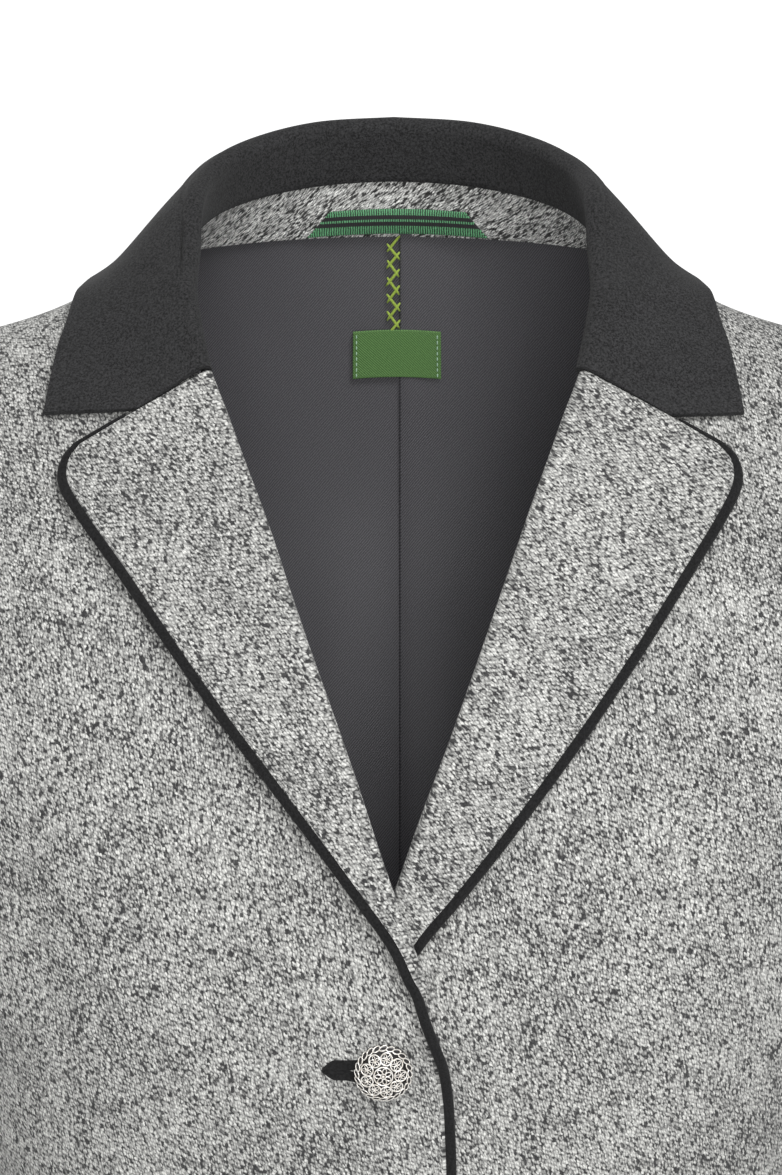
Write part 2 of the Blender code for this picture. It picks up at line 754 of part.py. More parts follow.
def make_lining(side, name, material):
    """One half of the back lining, from the facing to just above the hem."""
    depth = TWEED + INNER_CLEAR
    rows = [row for row in panel_rows(ARMHOLE_BACK) if row[0] > LINING_LEVEL and row[0] < LINING_FOOT]
    rows.append((LINING_FOOT, 0.0))
    grids = []
    for thickness in (0.0, SKIN):
        first = []
        for j in range(BACK_COLUMNS + 1):
            angle = math.pi / 2 * j / BACK_COLUMNS
            first.append(back_point(side, angle, facing_foot(angle) + 0.01, depth + thickness))
        grid = [trim_row(first, GAP / 2, GAP / 2)] + back_grid(side, depth + thickness, rows)
        grids.append(grid)
    wall("lining_back_" + name, *grids, material)


def back_patch(tree, name, corners, depth, thickness, columns, material):
    """A small flat piece sewn inside the back, between its (x, z) corners."""
    (left_top, right_top), (left_foot, right_foot) = corners
    grids = []
    for more in (0.0, thickness):
        grid = []
        for k in range(3):
            start = np.array(left_top) + (np.array(left_foot) - left_top) * k / 2
            end = np.array(right_top) + (np.array(right_foot) - right_top) * k / 2
            row = [start + (end - start) * j / columns for j in range(columns + 1)]
            grid.append([on_back(tree, x, z, depth + more) for x, z in row])
        grids.append(grid)
    return wall(name, *grids, material)


def make_label(tree, material):
    left, right = LABEL_X - LABEL_WIDTH / 2, LABEL_X + LABEL_WIDTH / 2
    top, foot = LABEL_Z + LABEL_HEIGHT / 2, LABEL_Z - LABEL_HEIGHT / 2
    corners = (((left, top), (right, top)), ((left, foot), (right, foot)))
    depth = TWEED + INNER_CLEAR + SKIN + 0.8 * MM
    back_patch(tree, "label", corners, depth, SKIN, 4, material)


def make_loop(tree, material):
    upper, lower = LOOP_TOP_WIDTH / 2, LOOP_BOTTOM_WIDTH / 2
    top = ((LOOP_X - upper, LOOP_TOP), (LOOP_X + upper, LOOP_TOP))
    foot = ((LOOP_X - lower, LOOP_BOTTOM), (LOOP_X + lower, LOOP_BOTTOM))
    depth = TWEED + INNER_CLEAR + FACING_THICK + 0.8 * MM
    back_patch(tree, "hanger_loop", (top, foot), depth, SKIN, 8, material)


# ---------------------------------------------------------------- buttonholes and buttons
def make_lips(tree, index, z, material):
    """The two felt lips of a bound buttonhole, parted where the button's shank goes through."""
    for way, part in ((1, "upper"), (-1, "lower")):
        grids = []
        for height in (LIP_PROUD, -TWEED):
            grid = []
            for k in range(2):
                row = []
                for j in range(6):
                    x = HOLE_LEFT + (HOLE_RIGHT - HOLE_LEFT) * j / 5
                    parting = GAP / 2 + LIP_PARTING * ease(x, -17 * MM, -7 * MM)
                    offset = parting if k == 0 else LIP_HEIGHT
                    row.append(on_front(tree, RIGHT, -x, z + way * offset, height)[0])
                grid.append(row)
            grids.append(grid)
        wall(f"buttonhole_{index}_{part}", *grids, material)


def make_button(tree, index, z, material):
    """A domed button with its thread shank, square to the front where it sits."""
    base, normal = on_front(tree, RIGHT, -BUTTON_X, z, BUTTON_STAND)
    shank = BUTTON_STAND + front_lift(RIGHT, -BUTTON_X, z) + OVERLAP_DOWN - SHANK_CLEAR
    profile = [(SHANK_RADIUS, -shank), (SHANK_RADIUS, 0.0), (9.2 * MM, 0.0)]
    profile += [(radius * MM, height * MM) for radius, height in BUTTON_PROFILE]
    across = unit(np.cross(normal, (0.0, 0.0, 1.0)))
    up = np.cross(across, normal)
    points = []
    for radius, height in profile:
        for j in range(BUTTON_SIDES):
            turn = math.tau * j / BUTTON_SIDES
            sideways = across * math.cos(turn) + up * math.sin(turn)
            points.append(base + normal * height + sideways * radius)
    points.append(base - normal * shank)
    points.append(base + normal * BUTTON_TOP)
    foot, top = len(points) - 2, len(points) - 1
    faces = []
    for j in range(BUTTON_SIDES):
        after = (j + 1) % BUTTON_SIDES
        for k in range(len(profile) - 1):
            a, b = k * BUTTON_SIDES + j, k * BUTTON_SIDES + after
            faces.append((a, b, b + BUTTON_SIDES, a + BUTTON_SIDES))
        end = (len(profile) - 1) * BUTTON_SIDES
        faces.append((foot, after, j))
        faces.append((top, end + j, end + after))
    add_object(f"button_{index}", points, faces, material)


def main():
    clear_scene()
    tree = form_tree()
    tweed = make_material("tweed", (0.36, 0.36, 0.34), 0.95)
    felt = make_material("felt", (0.045, 0.045, 0.047), 0.95)
    satin = make_material("lining", (0.065, 0.065, 0.072), 0.5)
    green = make_material("green_weave", (0.06, 0.17, 0.05), 0.7)
    silver = make_material("silver", (0.72, 0.71, 0.68), 0.3, metallic=1.0)
    make_fronts(tree, tweed)
    for side, name in SIDES:
        make_back(side, name, tweed)
        make_lapel(tree, side, name, tweed)
        make_piping(tree, side, name, felt)
        make_sleeve(tree, side, name, tweed)
        make_lining(side, name, satin)
    make_collar(tree, felt)
    make_facing(tweed)
    make_loop(tree, green)
    make_label(tree, green)
    for index, z in enumerate(BUTTON_ZS, start=1):
        make_lips(tree, index, z, felt)
        make_button(tree, index, z, silver)


main()
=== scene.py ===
# %% [markdown]
# # A woman's tyrolean loden jacket
# The jacket hangs as if worn, hollow, closed on its top button. Every piece of cloth is a thin
# shell that follows one shared form, so the seams of neighbouring pieces meet by themselves.
# The CAD model fixes the size and place of each piece. Here each one gets its finer cut, its
# rolled edges and creases, and its cloth.

import math

import bpy
import numpy as np
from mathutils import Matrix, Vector
from mathutils.bvhtree import BVHTree


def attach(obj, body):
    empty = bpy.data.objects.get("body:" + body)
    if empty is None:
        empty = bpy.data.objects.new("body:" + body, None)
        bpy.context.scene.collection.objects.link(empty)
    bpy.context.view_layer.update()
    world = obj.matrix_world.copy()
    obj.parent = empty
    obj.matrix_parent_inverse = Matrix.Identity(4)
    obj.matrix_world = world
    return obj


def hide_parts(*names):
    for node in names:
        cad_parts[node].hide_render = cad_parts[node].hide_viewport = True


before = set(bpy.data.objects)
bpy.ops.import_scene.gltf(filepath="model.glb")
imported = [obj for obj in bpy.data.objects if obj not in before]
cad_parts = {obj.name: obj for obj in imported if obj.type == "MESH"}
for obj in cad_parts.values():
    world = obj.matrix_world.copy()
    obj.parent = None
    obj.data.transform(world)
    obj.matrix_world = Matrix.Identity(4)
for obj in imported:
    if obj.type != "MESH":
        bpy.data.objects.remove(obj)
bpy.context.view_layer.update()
MM = 0.001
RIGHT, LEFT = -1.0, 1.0
SIDES = ((RIGHT, "right"), (LEFT, "left"))

# %% [markdown]
# ## Camera, floor and light
# A jacket in a catalogue is shown straight on, from a little above, with a long lens that keeps
# its proportions. The light is broad and soft, so the floor and the air around are near white.
# One lamp above and to the right models the collar and the lapels, one at the camera's height
# opens the shadows inside the neck, and a weak one lights the back.

# %% Camera
CAMERA_AIM = Vector((-0.001, -0.12, -0.101))
CAMERA_TILT = math.radians(8)
CAMERA_AWAY = 2.6
SENSOR = 36.0
VIEW_HEIGHT = 1.175 / 2.92

camera = bpy.data.objects.new("camera", bpy.data.cameras.new("camera"))
camera.data.sensor_width = SENSOR
camera.data.lens = SENSOR * CAMERA_AWAY / VIEW_HEIGHT
camera.location = CAMERA_AIM + Vector((0, -math.cos(CAMERA_TILT), math.sin(CAMERA_TILT))) * CAMERA_AWAY
camera.rotation_euler = (math.pi / 2 - CAMERA_TILT, 0, 0)
bpy.context.scene.collection.objects.link(camera)
bpy.context.scene.camera = camera
bpy.context.scene.view_settings.view_transform = "Standard"
print("lens:", round(camera.data.lens, 1), "mm")


# %% Light
AIR_LIGHT = 0.5


def add_lamp(name, place, aim, size, power):
    """A square area lamp that faces a point."""
    lamp = bpy.data.objects.new(name, bpy.data.lights.new(name, "AREA"))
    lamp.data.size = size
    lamp.data.energy = power
    lamp.location = place
    lamp.rotation_euler = (Vector(aim) - Vector(place)).to_track_quat("-Z", "Y").to_euler()
    bpy.context.scene.collection.objects.link(lamp)


add_lamp("lamp_high", (0.7, -1.5, 1.5), (0, 0, -0.15), 0.7, 34)
add_lamp("lamp_front", (0.1, -3.2, 0.25), (0, 0, -0.1), 1.0, 46)
add_lamp("lamp_back", (-1.4, 2.2, 0.9), (0, 0, -0.3), 1.4, 16)
world = bpy.data.worlds.new("studio")
bpy.context.scene.world = world
world.use_nodes = True
tree = world.node_tree
background = tree.nodes["Background"].inputs
background["Color"].default_value = (1.0, 1.0, 1.0, 1.0)
strength = tree.nodes.new("ShaderNodeMapRange")
strength.inputs["To Min"].default_value = AIR_LIGHT
tree.links.new(tree.nodes.new("ShaderNodeLightPath").outputs["Is Camera Ray"], strength.inputs["Value"])
tree.links.new(strength.outputs["Result"], background["Strength"])
print("lamps:", [light.name for light in bpy.data.lights], "air:", AIR_LIGHT)

# %% [markdown]
# ## Small helpers
# Tailoring curves are drawn through a few measured points. A Catmull-Rom spline does the same:
# it passes through every row of a short table and bends smoothly between them. The helpers
# work on whole arrays of positions at once, which keeps the fine meshes quick to make.


# %% Curves and ramps
def unit(vector):
    return vector / np.linalg.norm(vector, axis=-1, keepdims=True)


def ease(value, start, end):
    """0 at start and 1 at end, with a smooth rise between."""
    t = np.clip((np.asarray(value, float) - start) / (end - start), 0.0, 1.0)
    return t * t * (3 - 2 * t)


def spline(rows, position):
    """A smooth curve through the rows of a table, read at positions counted in rows."""
    table = np.asarray(rows, float)
    last = len(table) - 1
    position = np.clip(np.asarray(position, float), 0.0, last)
    i = np.minimum(position.astype(int), last - 1)
    t = (position - i)[..., None]
    table = np.concatenate((2 * table[:1] - table[1:2], table, 2 * table[-1:] - table[-2:-1]))
    a, b, c, d = (table[i + k] for k in range(4))
    return 0.5 * (2 * b + (c - a) * t + (2 * a - 5 * b + 4 * c - d) * t**2 + (3 * b - a - 3 * c + d) * t**3)


def resample(points, count):
    """The same line as a smooth curve with evenly spaced points."""
    fine = spline(points, np.linspace(0, len(points) - 1, 12 * (len(points) - 1) + 1))
    run = np.concatenate(((0.0,), np.cumsum(np.linalg.norm(np.diff(fine, axis=0), axis=1))))
    places = np.linspace(0.0, run[-1], count)
    return np.stack([np.interp(places, run, fine[:, k]) for k in range(fine.shape[1])], axis=1)


# %% [markdown]
# ## The form under the cloth
# A tailor works on a form, and so does this model. Ten rings run from the neck to the hem. Each
# is half an oval in front and half behind, and square below 1 fills out its corners. Angle 0 is
# the centre front, 90 degrees the left side and 180 the back; level counts the rings downward.

# %% The form
# Columns: side_x, side_y, side_z, front_y, front_z, back_y, back_z, square, back_fall
FORM_ROWS = (
    (73, 0, 31, -70, -66, 68, 46, 1.00, 0.7),             # neck, above the seam
    (76, 0, 8, -86, -99, 75, 25.5, 1.00, 0.7),            # neck seam
    (116, 2, -16.5, -97, -114, 87.5, -12, 0.99, 1.1),     # under the collar's edge
    (195, 5, -45, -114, -165, 106, -85, 0.92, 1.5),       # shoulder tip
    (204, 5, -100, -123, -200, 113, -140, 0.88, 1.5),
    (190, 5, -170, -128, -235, 115, -195, 0.85, 1.5),
    (172, 5, -245, -129.5, -268, 110, -250, 0.84, 1.5),   # underarm
    (141, 2, -390, -112, -392, 91, -390, 0.86, 1.5),      # waist
    (178, 0, -520, -117, -520, 115, -520, 0.86, 1.5),     # hip
    (188, 0, -600, -121, -600, 122, -600, 0.86, 1.5),     # hem
)
NECK, TIP, UNDERARM, WAIST, HEM = 1, 3, 6, 7, 9
HEM_Z = -599.9 * MM
FRONT_FALL = 1.5
TURN_STEP, LEVEL_STEP = math.radians(1.0), 0.02


def form_point(angle, level):
    """Points of the bare form."""
    angle, level = np.broadcast_arrays(np.asarray(angle, float), np.asarray(level, float))
    ring = spline(FORM_ROWS, level)
    side_x, side_y, side_z, front_y, front_z, back_y, back_z = np.moveaxis(ring[..., :7] * MM, -1, 0)
    ahead = np.cos(angle) >= 0
    deep = np.abs(np.cos(angle))
    across = np.abs(np.sin(angle)) ** ring[..., 7]
    fall = deep ** np.where(ahead, FRONT_FALL, ring[..., 8])
    x = np.sign(np.sin(angle)) * side_x * across
    y = side_y + (np.where(ahead, front_y, back_y) - side_y) * deep ** ring[..., 7]
    z = side_z + (np.where(ahead, front_z, back_z) - side_z) * fall
    return np.stack((x, y, z), axis=-1)


def form_normal(angle, level):
    """Outward directions of the form, from its slopes round the ring and down."""
    around = form_point(angle + TURN_STEP, level) - form_point(angle - TURN_STEP, level)
    level = np.asarray(level, float)
    down = form_point(angle, np.minimum(level + LEVEL_STEP, HEM)) - form_point(angle, level - LEVEL_STEP)
    return -unit(np.cross(around, down))


def make_form_tree(rings, spokes):
    """The form as a fine band of faces, to lay pieces on."""
    angles, levels = np.meshgrid(np.arange(spokes) * math.tau / spokes, np.arange(rings + 1) * HEM / rings)
    points = form_point(angles, levels).reshape(-1, 3)
    i, j = (a.ravel() for a in np.meshgrid(np.arange(rings), np.arange(spokes), indexing="ij"))
    k = (j + 1) % spokes
    faces = np.stack((i * spokes + j, i * spokes + k, (i + 1) * spokes + k, (i + 1) * spokes + j), axis=1)
    return BVHTree.FromPolygons(points.tolist(), faces.tolist())


FORM = make_form_tree(300, 336)
print("waist of the form:", round(2 * form_point(math.pi / 2, WAIST)[0], 3), "m wide")

# %% [markdown]
# ## Creases
# Loden is thick and holds its shape, so it shows a few broad soft folds and no wrinkles: the
# pull towards the button, the drape below the bust and the blades, the ease at the waist and
# the flare of the skirt. They are laid one by one, each a line in (x, z) with its own width and
# depth, and no two are alike. A negative depth is a ridge.

# %% Creases of the body
# Columns: x0, z0, x1, z1, width, depth
FRONT_CREASES = (
    (-30, -262, -118, -222, 13, 0.7),
    (22, -270, 104, -214, 12, 0.6),
    (-34, -280, -96, -338, 15, 0.8),
    (24, -286, 84, -352, 14, 0.7),
    (-92, -268, -76, -424, 24, 1.3),
    (94, -286, 80, -440, 21, 1.1),
    (-138, -178, -122, -246, 12, 1.3),
    (143, -168, 128, -238, 11, 1.1),
    (-122, -372, -70, -396, 12, 1.2),
    (126, -380, 82, -392, 10, 0.9),
    (-52, -452, -66, -604, 24, -1.5),
    (-112, -470, -136, -604, 21, -1.8),
    (62, -462, 68, -604, 27, -1.4),
    (120, -478, 142, -604, 20, -1.9),
)
BACK_CREASES = (
    (-128, -118, -96, -262, 18, 1.5),
    (122, -132, 98, -246, 16, 1.3),
    (-112, -366, -28, -392, 12, 1.3),
    (30, -380, 118, -362, 13, 1.2),
    (-98, -410, -42, -420, 10, 0.9),
    (46, -412, 88, -404, 9, 0.7),
    (-58, -456, -74, -604, 24, -1.8),
    (50, -444, 78, -604, 26, -1.6),
    (-128, -480, -148, -604, 19, -1.5),
    (126, -470, 152, -604, 20, -1.7),
)
RIDGE_SHARE, RIDGE_AWAY = 0.45, 1.7
CREASES_FROM_SIDE = 45 * MM


def crease_depth(table, x, z):
    """How far the cloth stands out for every crease of a table, in metres."""
    lift = np.zeros(np.shape(x))
    for x0, z0, x1, z1, width, depth in np.array(table) * MM:
        run = np.array((x1 - x0, z1 - z0))
        along = np.clip(((x - x0) * run[0] + (z - z0) * run[1]) / (run @ run), 0, 1)
        away = np.hypot(x - x0 - along * run[0], z - z0 - along * run[1])
        fade = ease(along, -0.1, 0.3)
        ridge = RIDGE_SHARE * np.exp(-((away / width - RIDGE_AWAY) ** 2))
        lift -= depth * fade * (np.exp(-((away / width) ** 2)) - ridge)
    return lift


def crease(points):
    """The creases of the body at points of the form."""
    x, y, z = np.moveaxis(np.asarray(points, float), -1, 0)
    front = crease_depth(FRONT_CREASES, x, z) * ease(-y, 0, CREASES_FROM_SIDE)
    return front + crease_depth(BACK_CREASES, x, z) * ease(y, 0, CREASES_FROM_SIDE)


# %% [markdown]
# ## Laying pieces on the form
# The right front lies over the left one, so each front carries its own small lift near the
# centre. Collar, lapels, piping and buttons are placed by a ray from straight ahead: it finds
# the form at a chosen (out, z), where out is the distance from the centre front on the
# wearer's own side.

# %% Places on the fronts and inside the back
TWEED = 2.2 * MM
OVERLAP_UP = 1.7 * MM
OVERLAP_DOWN = 1.9 * MM
OVERLAP_FADE = (20 * MM, 80 * MM)
ROLL_LIFT = 4.2 * MM
ROLL_HEIGHTS, ROLL_FADE = (-276 * MM, -240 * MM), (-2 * MM, 45 * MM)


def outward(place, normal):
    """A face normal of the form, turned away from the middle of the body."""
    away = Vector((place.x, place.y, 0.3 * math.hypot(place.x, place.y)))
    return normal if normal.dot(away) >= 0 else -normal


def front_lift(side, out, z):
    """How far a front stands off the form where the two fronts overlap."""
    near = 1 - ease(out, *OVERLAP_FADE)
    if side == LEFT:
        return -OVERLAP_DOWN * near
    rolled = ease(z, *ROLL_HEIGHTS) * (1 - ease(out, *ROLL_FADE))
    return OVERLAP_UP * near + ROLL_LIFT * rolled


def on_front(side, out, z, height):
    """The place seen from the front at (out, z), raised above that side's front; and its normal."""
    place, normal, _, _ = FORM.ray_cast(Vector((side * out, -1.0, z)), Vector((0.0, 1.0, 0.0)))
    normal = np.array(outward(place, normal))
    lift = front_lift(side, out, z) + float(crease(place)) + height
    return np.array(place) + normal * lift, normal


def on_back(x, z, depth):
    """A place inside the back at (x, z), at a depth under the form."""
    place, normal, _, _ = FORM.ray_cast(Vector((x, 0.0, z)), Vector((0.0, 1.0, 0.0)))
    return np.array(place) - np.array(outward(place, normal)) * depth


def keep_clear(point, lift, soft=1.2 * MM):
    """Moves a point out until it stands at least lift above the form, with a soft landing."""
    place, normal, _, _ = FORM.find_nearest(Vector(point))
    normal = outward(place, normal)
    height = (Vector(point) - place).dot(normal)
    if height > lift + 6 * soft:
        return np.array(point)
    wanted = lift + soft * math.log1p(math.exp((height - lift) / soft))
    return np.array(Vector(point) + normal * (wanted - height))


# %% [markdown]
# ## Making shells
# A piece of cloth is a grid of points and the same grid a cloth's thickness deeper, joined by a
# rolled rim. The rim stays inside the cut edge, so two pieces that meet leave the fine groove
# that a pressed seam has. The grain is kept in the UV map, in metres: it is found by adding up
# the steps between points along the direction in which the warp and the weft would run.


# %% Grain
SHOULDER_TURN = (-130 * MM, -70 * MM)


def grid_normals(grid):
    """A normal for each point of a grid."""
    return unit(np.cross(np.gradient(grid, axis=1), np.gradient(grid, axis=0)))


def outward_normals(grid):
    """Such normals, turned away from the middle of the body."""
    normals = grid_normals(grid)
    return normals * np.sign((normals * grid * (1, 1, 0)).sum())


def grain(points, flat_top=False):
    """UV in metres for a grid round the body, with the warp upright; flat_top lays it on a shoulder."""
    normals = outward_normals(points)
    weft = np.cross((0.0, 0.0, 1.0), normals)
    sideways = np.array((1.0, 0.0, 0.0)) - normals * normals[..., :1]
    sideways = sideways * np.sign((sideways * weft).sum())
    high = ease(points[..., 2:], *SHOULDER_TURN) if flat_top else 0.0
    weft = unit(weft * (1 - high) + sideways * high)
    warp = np.cross(normals, weft)
    uv = []
    for way in (weft, warp):
        down = ((way[1:, 0] + way[:-1, 0]) / 2 * np.diff(points[:, 0], axis=0)).sum(axis=1)
        across = ((way[:, 1:] + way[:, :-1]) / 2 * np.diff(points, axis=1)).sum(axis=2)
        start = np.concatenate(((0.0,), np.cumsum(down)))[:, None]
        uv.append(np.concatenate((start, start + np.cumsum(across, axis=1)), axis=1))
    return np.stack(uv, axis=-1)


# %% Meshes
def add_mesh(name, points, faces, uvs, materials, slots=None):
    """A smooth mesh object; uvs has one pair a vertex and slots one material number a face."""
    mesh = bpy.data.meshes.new(name)
    mesh.from_pydata(np.asarray(points, float).tolist(), [], [list(map(int, face)) for face in faces])
    for material in materials:
        mesh.materials.append(material)
    if slots is not None:
        mesh.polygons.foreach_set("material_index", np.asarray(slots, np.int32))
    layer = mesh.uv_layers.new(name="grain")
    loops = np.empty(len(mesh.loops), np.int32)
    mesh.loops.foreach_get("vertex_index", loops)
    layer.data.foreach_set("uv", np.asarray(uvs, np.float32)[loops].ravel())
    mesh.shade_smooth()
    piece = bpy.data.objects.new(name, mesh)
    bpy.context.scene.collection.objects.link(piece)
    return piece


def boundary(rows, columns):
    """Positions (row, column) round the edge of a grid."""
    places = [(0, j) for j in range(columns)]
    places += [(i, columns - 1) for i in range(1, rows)]
    places += [(rows - 1, j) for j in range(columns - 2, -1, -1)]
    places += [(i, 0) for i in range(rows - 2, 0, -1)]
    return np.array(places)


# %% Shells and tubes
RIM_STEPS = 3


def shell(name, outer, inner, uv, materials, roll=1.0):
    """A closed cloth between two grids. roll is how round its rim is, as a share of a half-circle."""
    outer, inner = np.array(outer, float), np.array(inner, float)
    rows, columns = outer.shape[:2]
    edge = boundary(rows, columns)
    i, j = edge.T
    within = (np.clip(i, 1, rows - 2), np.clip(j, 1, columns - 2))
    away = outer[i, j] - outer[within]
    length = np.linalg.norm(away, axis=1, keepdims=True)
    thick = np.linalg.norm(outer[i, j] - inner[i, j], axis=1, keepdims=True)
    reach = np.minimum(thick / 2 * roll, length * 0.45)
    away = away / length
    for grid in (outer, inner):
        grid[i, j] -= away * reach
    middle, half = (outer[i, j] + inner[i, j]) / 2, (outer[i, j] - inner[i, j]) / 2
    rings = []
    for k in range(1, RIM_STEPS + 1):
        turn = math.pi * k / (RIM_STEPS + 1)
        rings.append(middle + half * math.cos(turn) + away * reach * math.sin(turn))
    points = np.concatenate([outer.reshape(-1, 3), inner.reshape(-1, 3)] + rings)
    under = rows * columns
    a, b = np.meshgrid(np.arange(rows - 1), np.arange(columns - 1), indexing="ij")
    a = (a * columns + b).ravel()
    top = np.stack((a, a + 1, a + columns + 1, a + columns), axis=1)
    low = np.stack((a, a + columns, a + columns + 1, a + 1), axis=1) + under
    loops = [2 * under + k * len(edge) + np.arange(len(edge)) for k in range(RIM_STEPS)]
    loops = [i * columns + j, *loops, under + i * columns + j]
    rim = [np.stack((q, np.roll(q, -1), np.roll(p, -1), p), axis=1) for p, q in zip(loops, loops[1:])]
    faces = np.concatenate([top, low] + rim)
    sense = np.cross(outer[0, 1] - outer[0, 0], outer[1, 0] - outer[0, 0]) @ (outer[0, 0] - inner[0, 0])
    if sense < 0:
        faces = faces[:, ::-1]
    slots = np.zeros(len(faces), int)
    slots[len(top) : len(top) + len(low)] = len(materials) - 1
    flat = uv.reshape(-1, 2)
    uvs = np.concatenate([flat, flat] + [uv[i, j]] * RIM_STEPS)
    return add_mesh(name, points, faces, uvs, materials, slots)


def thick_shell(name, middle, thickness, uv, materials, roll):
    """A shell of even thickness either side of a grid of points."""
    half = grid_normals(middle) * thickness / 2
    return shell(name, middle + half, middle - half, uv, materials, roll)


def trim(grid, start, end):
    """Draws in the two ends of every row of a grid by the given lengths."""
    grid = np.array(grid, float)
    first, last = unit(grid[:, 1] - grid[:, 0]), unit(grid[:, -2] - grid[:, -1])
    grid[:, 0] += first * start
    grid[:, -1] += last * end
    return grid


def tube(path, normals, widths, heights, sides=12, closed=False):
    """Points, faces and UV of an oval tube along a path; its width lies square to the normals."""
    path, normals = np.asarray(path, float), unit(np.asarray(normals, float))
    count = len(path)
    forward = np.roll(path, -1, axis=0) - np.roll(path, 1, axis=0) if closed else np.gradient(path, axis=0)
    forward = unit(forward)
    across = unit(np.cross(forward, normals))
    up = unit(np.cross(across, forward))
    turn = math.tau * np.arange(sides) / sides
    widths, heights = (np.broadcast_to(np.asarray(value, float), (count,)) for value in (widths, heights))
    points = path[:, None] + across[:, None] * (np.cos(turn)[None, :, None] * widths[:, None, None] / 2)
    points = points + up[:, None] * (np.sin(turn)[None, :, None] * heights[:, None, None] / 2)
    run = np.concatenate(((0.0,), np.cumsum(np.linalg.norm(np.diff(path, axis=0), axis=1))))
    around = turn * (widths.mean() + heights.mean()) / 4
    uvs = np.stack(np.broadcast_arrays(around[None, :], run[:, None]), axis=-1).reshape(-1, 2)
    faces = []
    for k in range(count if closed else count - 1):
        for j in range(sides):
            a, b = k * sides + j, k * sides + (j + 1) % sides
            c, d = (k + 1) % count * sides + (j + 1) % sides, (k + 1) % count * sides + j
            faces.append((a, b, c, d))
    if not closed:
        faces += [tuple(range(sides))[::-1], tuple((count - 1) * sides + j for j in range(sides))]
    return points.reshape(-1, 3), faces, uvs


def join(parts):
    """Several (points, faces, uvs) as one."""
    points, faces, uvs, first = [], [], [], 0
    for some_points, some_faces, some_uvs in parts:
        points.append(some_points)
        uvs.append(some_uvs)
        faces += [tuple(first + int(v) for v in face) for face in some_faces]
        first += len(some_points)
    return np.concatenate(points), faces, np.concatenate(uvs)


# %% [markdown]
# ## Cloth and trim finishes
# Four kinds of cloth meet in this jacket, and each shows its own make close to: the loden's
# pale oval yarns with dark hairs between them, the felt's fine fibres, the twill of the lining
# and the ribs of woven ribbon. Each is a node group of its own, with named inputs, that puts
# out a colour and a height. The height feeds a Bump node, and the shader stays in the material.


# %% Node helpers
def add_node(tree, kind, inputs=None, **settings):
    """A node with its settings and its inputs' values; an input given as a socket is linked."""
    made = tree.nodes.new(kind)
    for key, value in settings.items():
        setattr(made, key, value)
    for key, value in (inputs or {}).items():
        if isinstance(value, bpy.types.NodeSocket):
            tree.links.new(value, made.inputs[key])
        else:
            made.inputs[key].default_value = value
    return made


def maths(tree, operation, first, second=0.0, third=0.0, clamp=False):
    """A Math node's result."""
    inputs = {0: first, 1: second, 2: third}
    return add_node(tree, "ShaderNodeMath", inputs, operation=operation, use_clamp=clamp).outputs[0]


def times(tree, first, second):
    """first x second."""
    return maths(tree, "MULTIPLY", first, second)


def scaled(tree, value, factor, plus):
    """value x factor + plus."""
    return maths(tree, "MULTIPLY_ADD", value, factor, plus)


def noise(tree, where, scale, detail, **more):
    """A Noise Texture; its scale counts spots per millimetre where the place is in millimetres."""
    return add_node(tree, "ShaderNodeTexNoise", {"Vector": where, "Scale": scale, "Detail": detail, **more})


def turned_by(tree, where, angle):
    """A place turned in its plane."""
    inputs = {"Vector": where, "Angle": angle}
    return add_node(tree, "ShaderNodeVectorRotate", inputs, rotation_type="Z_AXIS").outputs[0]


def vector_maths(tree, operation, *values):
    """A Vector Math node's result."""
    return add_node(tree, "ShaderNodeVectorMath", dict(enumerate(values)), operation=operation).outputs[0]


def between(tree, value, low, high, to_low=0.0, to_high=1.0):
    """A smooth ramp of a value."""
    inputs = {"Value": value, "From Min": low, "From Max": high, "To Min": to_low, "To Max": to_high}
    return add_node(tree, "ShaderNodeMapRange", inputs, interpolation_type="SMOOTHSTEP").outputs["Result"]


def mix_colour(tree, share, first, second, blend="MIX"):
    """Two colours mixed; share, first and second are values or sockets."""
    made = add_node(tree, "ShaderNodeMix", data_type="RGBA", blend_type=blend)
    for socket, value in ((made.inputs[0], share), (made.inputs[6], first), (made.inputs[7], second)):
        if isinstance(value, bpy.types.NodeSocket):
            tree.links.new(value, socket)
        else:
            socket.default_value = value
    return made.outputs[2]


# %% Group helpers
VECTOR, FLOAT, COLOUR = "NodeSocketVector", "NodeSocketFloat", "NodeSocketColor"


def new_group(name, **inputs):
    """A node group that puts out a colour and a height: (group, its inputs, its output's sockets).

    Its inputs are Vector and the numbers and colours given here, each with its first value.
    """
    group = bpy.data.node_groups.new(name, "ShaderNodeTree")
    group.interface.new_socket("Vector", in_out="INPUT", socket_type=VECTOR)
    for key, value in inputs.items():
        kind = FLOAT if isinstance(value, float) else COLOUR
        socket = group.interface.new_socket(key.replace("_", " "), in_out="INPUT", socket_type=kind)
        socket.default_value = value
    for key, kind in (("Color", COLOUR), ("Height", FLOAT)):
        group.interface.new_socket(key, in_out="OUTPUT", socket_type=kind)
    given = group.nodes.new("NodeGroupInput").outputs
    return group, given, group.nodes.new("NodeGroupOutput").inputs


def use_group(tree, group, inputs):
    """The outputs of a group placed in a material."""
    return add_node(tree, "ShaderNodeGroup", inputs, node_tree=group).outputs


# %% [markdown]
# ### Loden
# Seen close, this cloth is a field of small pale ovals, each the float of a thick yarn, with
# grey gaps and near-black hairs. Cells of a Voronoi pattern, squeezed to the size of a float,
# give the ovals: the distance from a cell's middle is the yarn's roundness, and its random
# colour says whether that float is pale, grey or black. Slow noises gather the dark ones in
# patches and let the warp show as faint upright slubs.

# %% Loden: yarn floats
# Lengths are millimetres, a noise's scale is spots a millimetre, and lean and turn are radians
YARN_WIDE, YARN_LONG = 0.84, 1.7
TWILL_TURN = 0.42

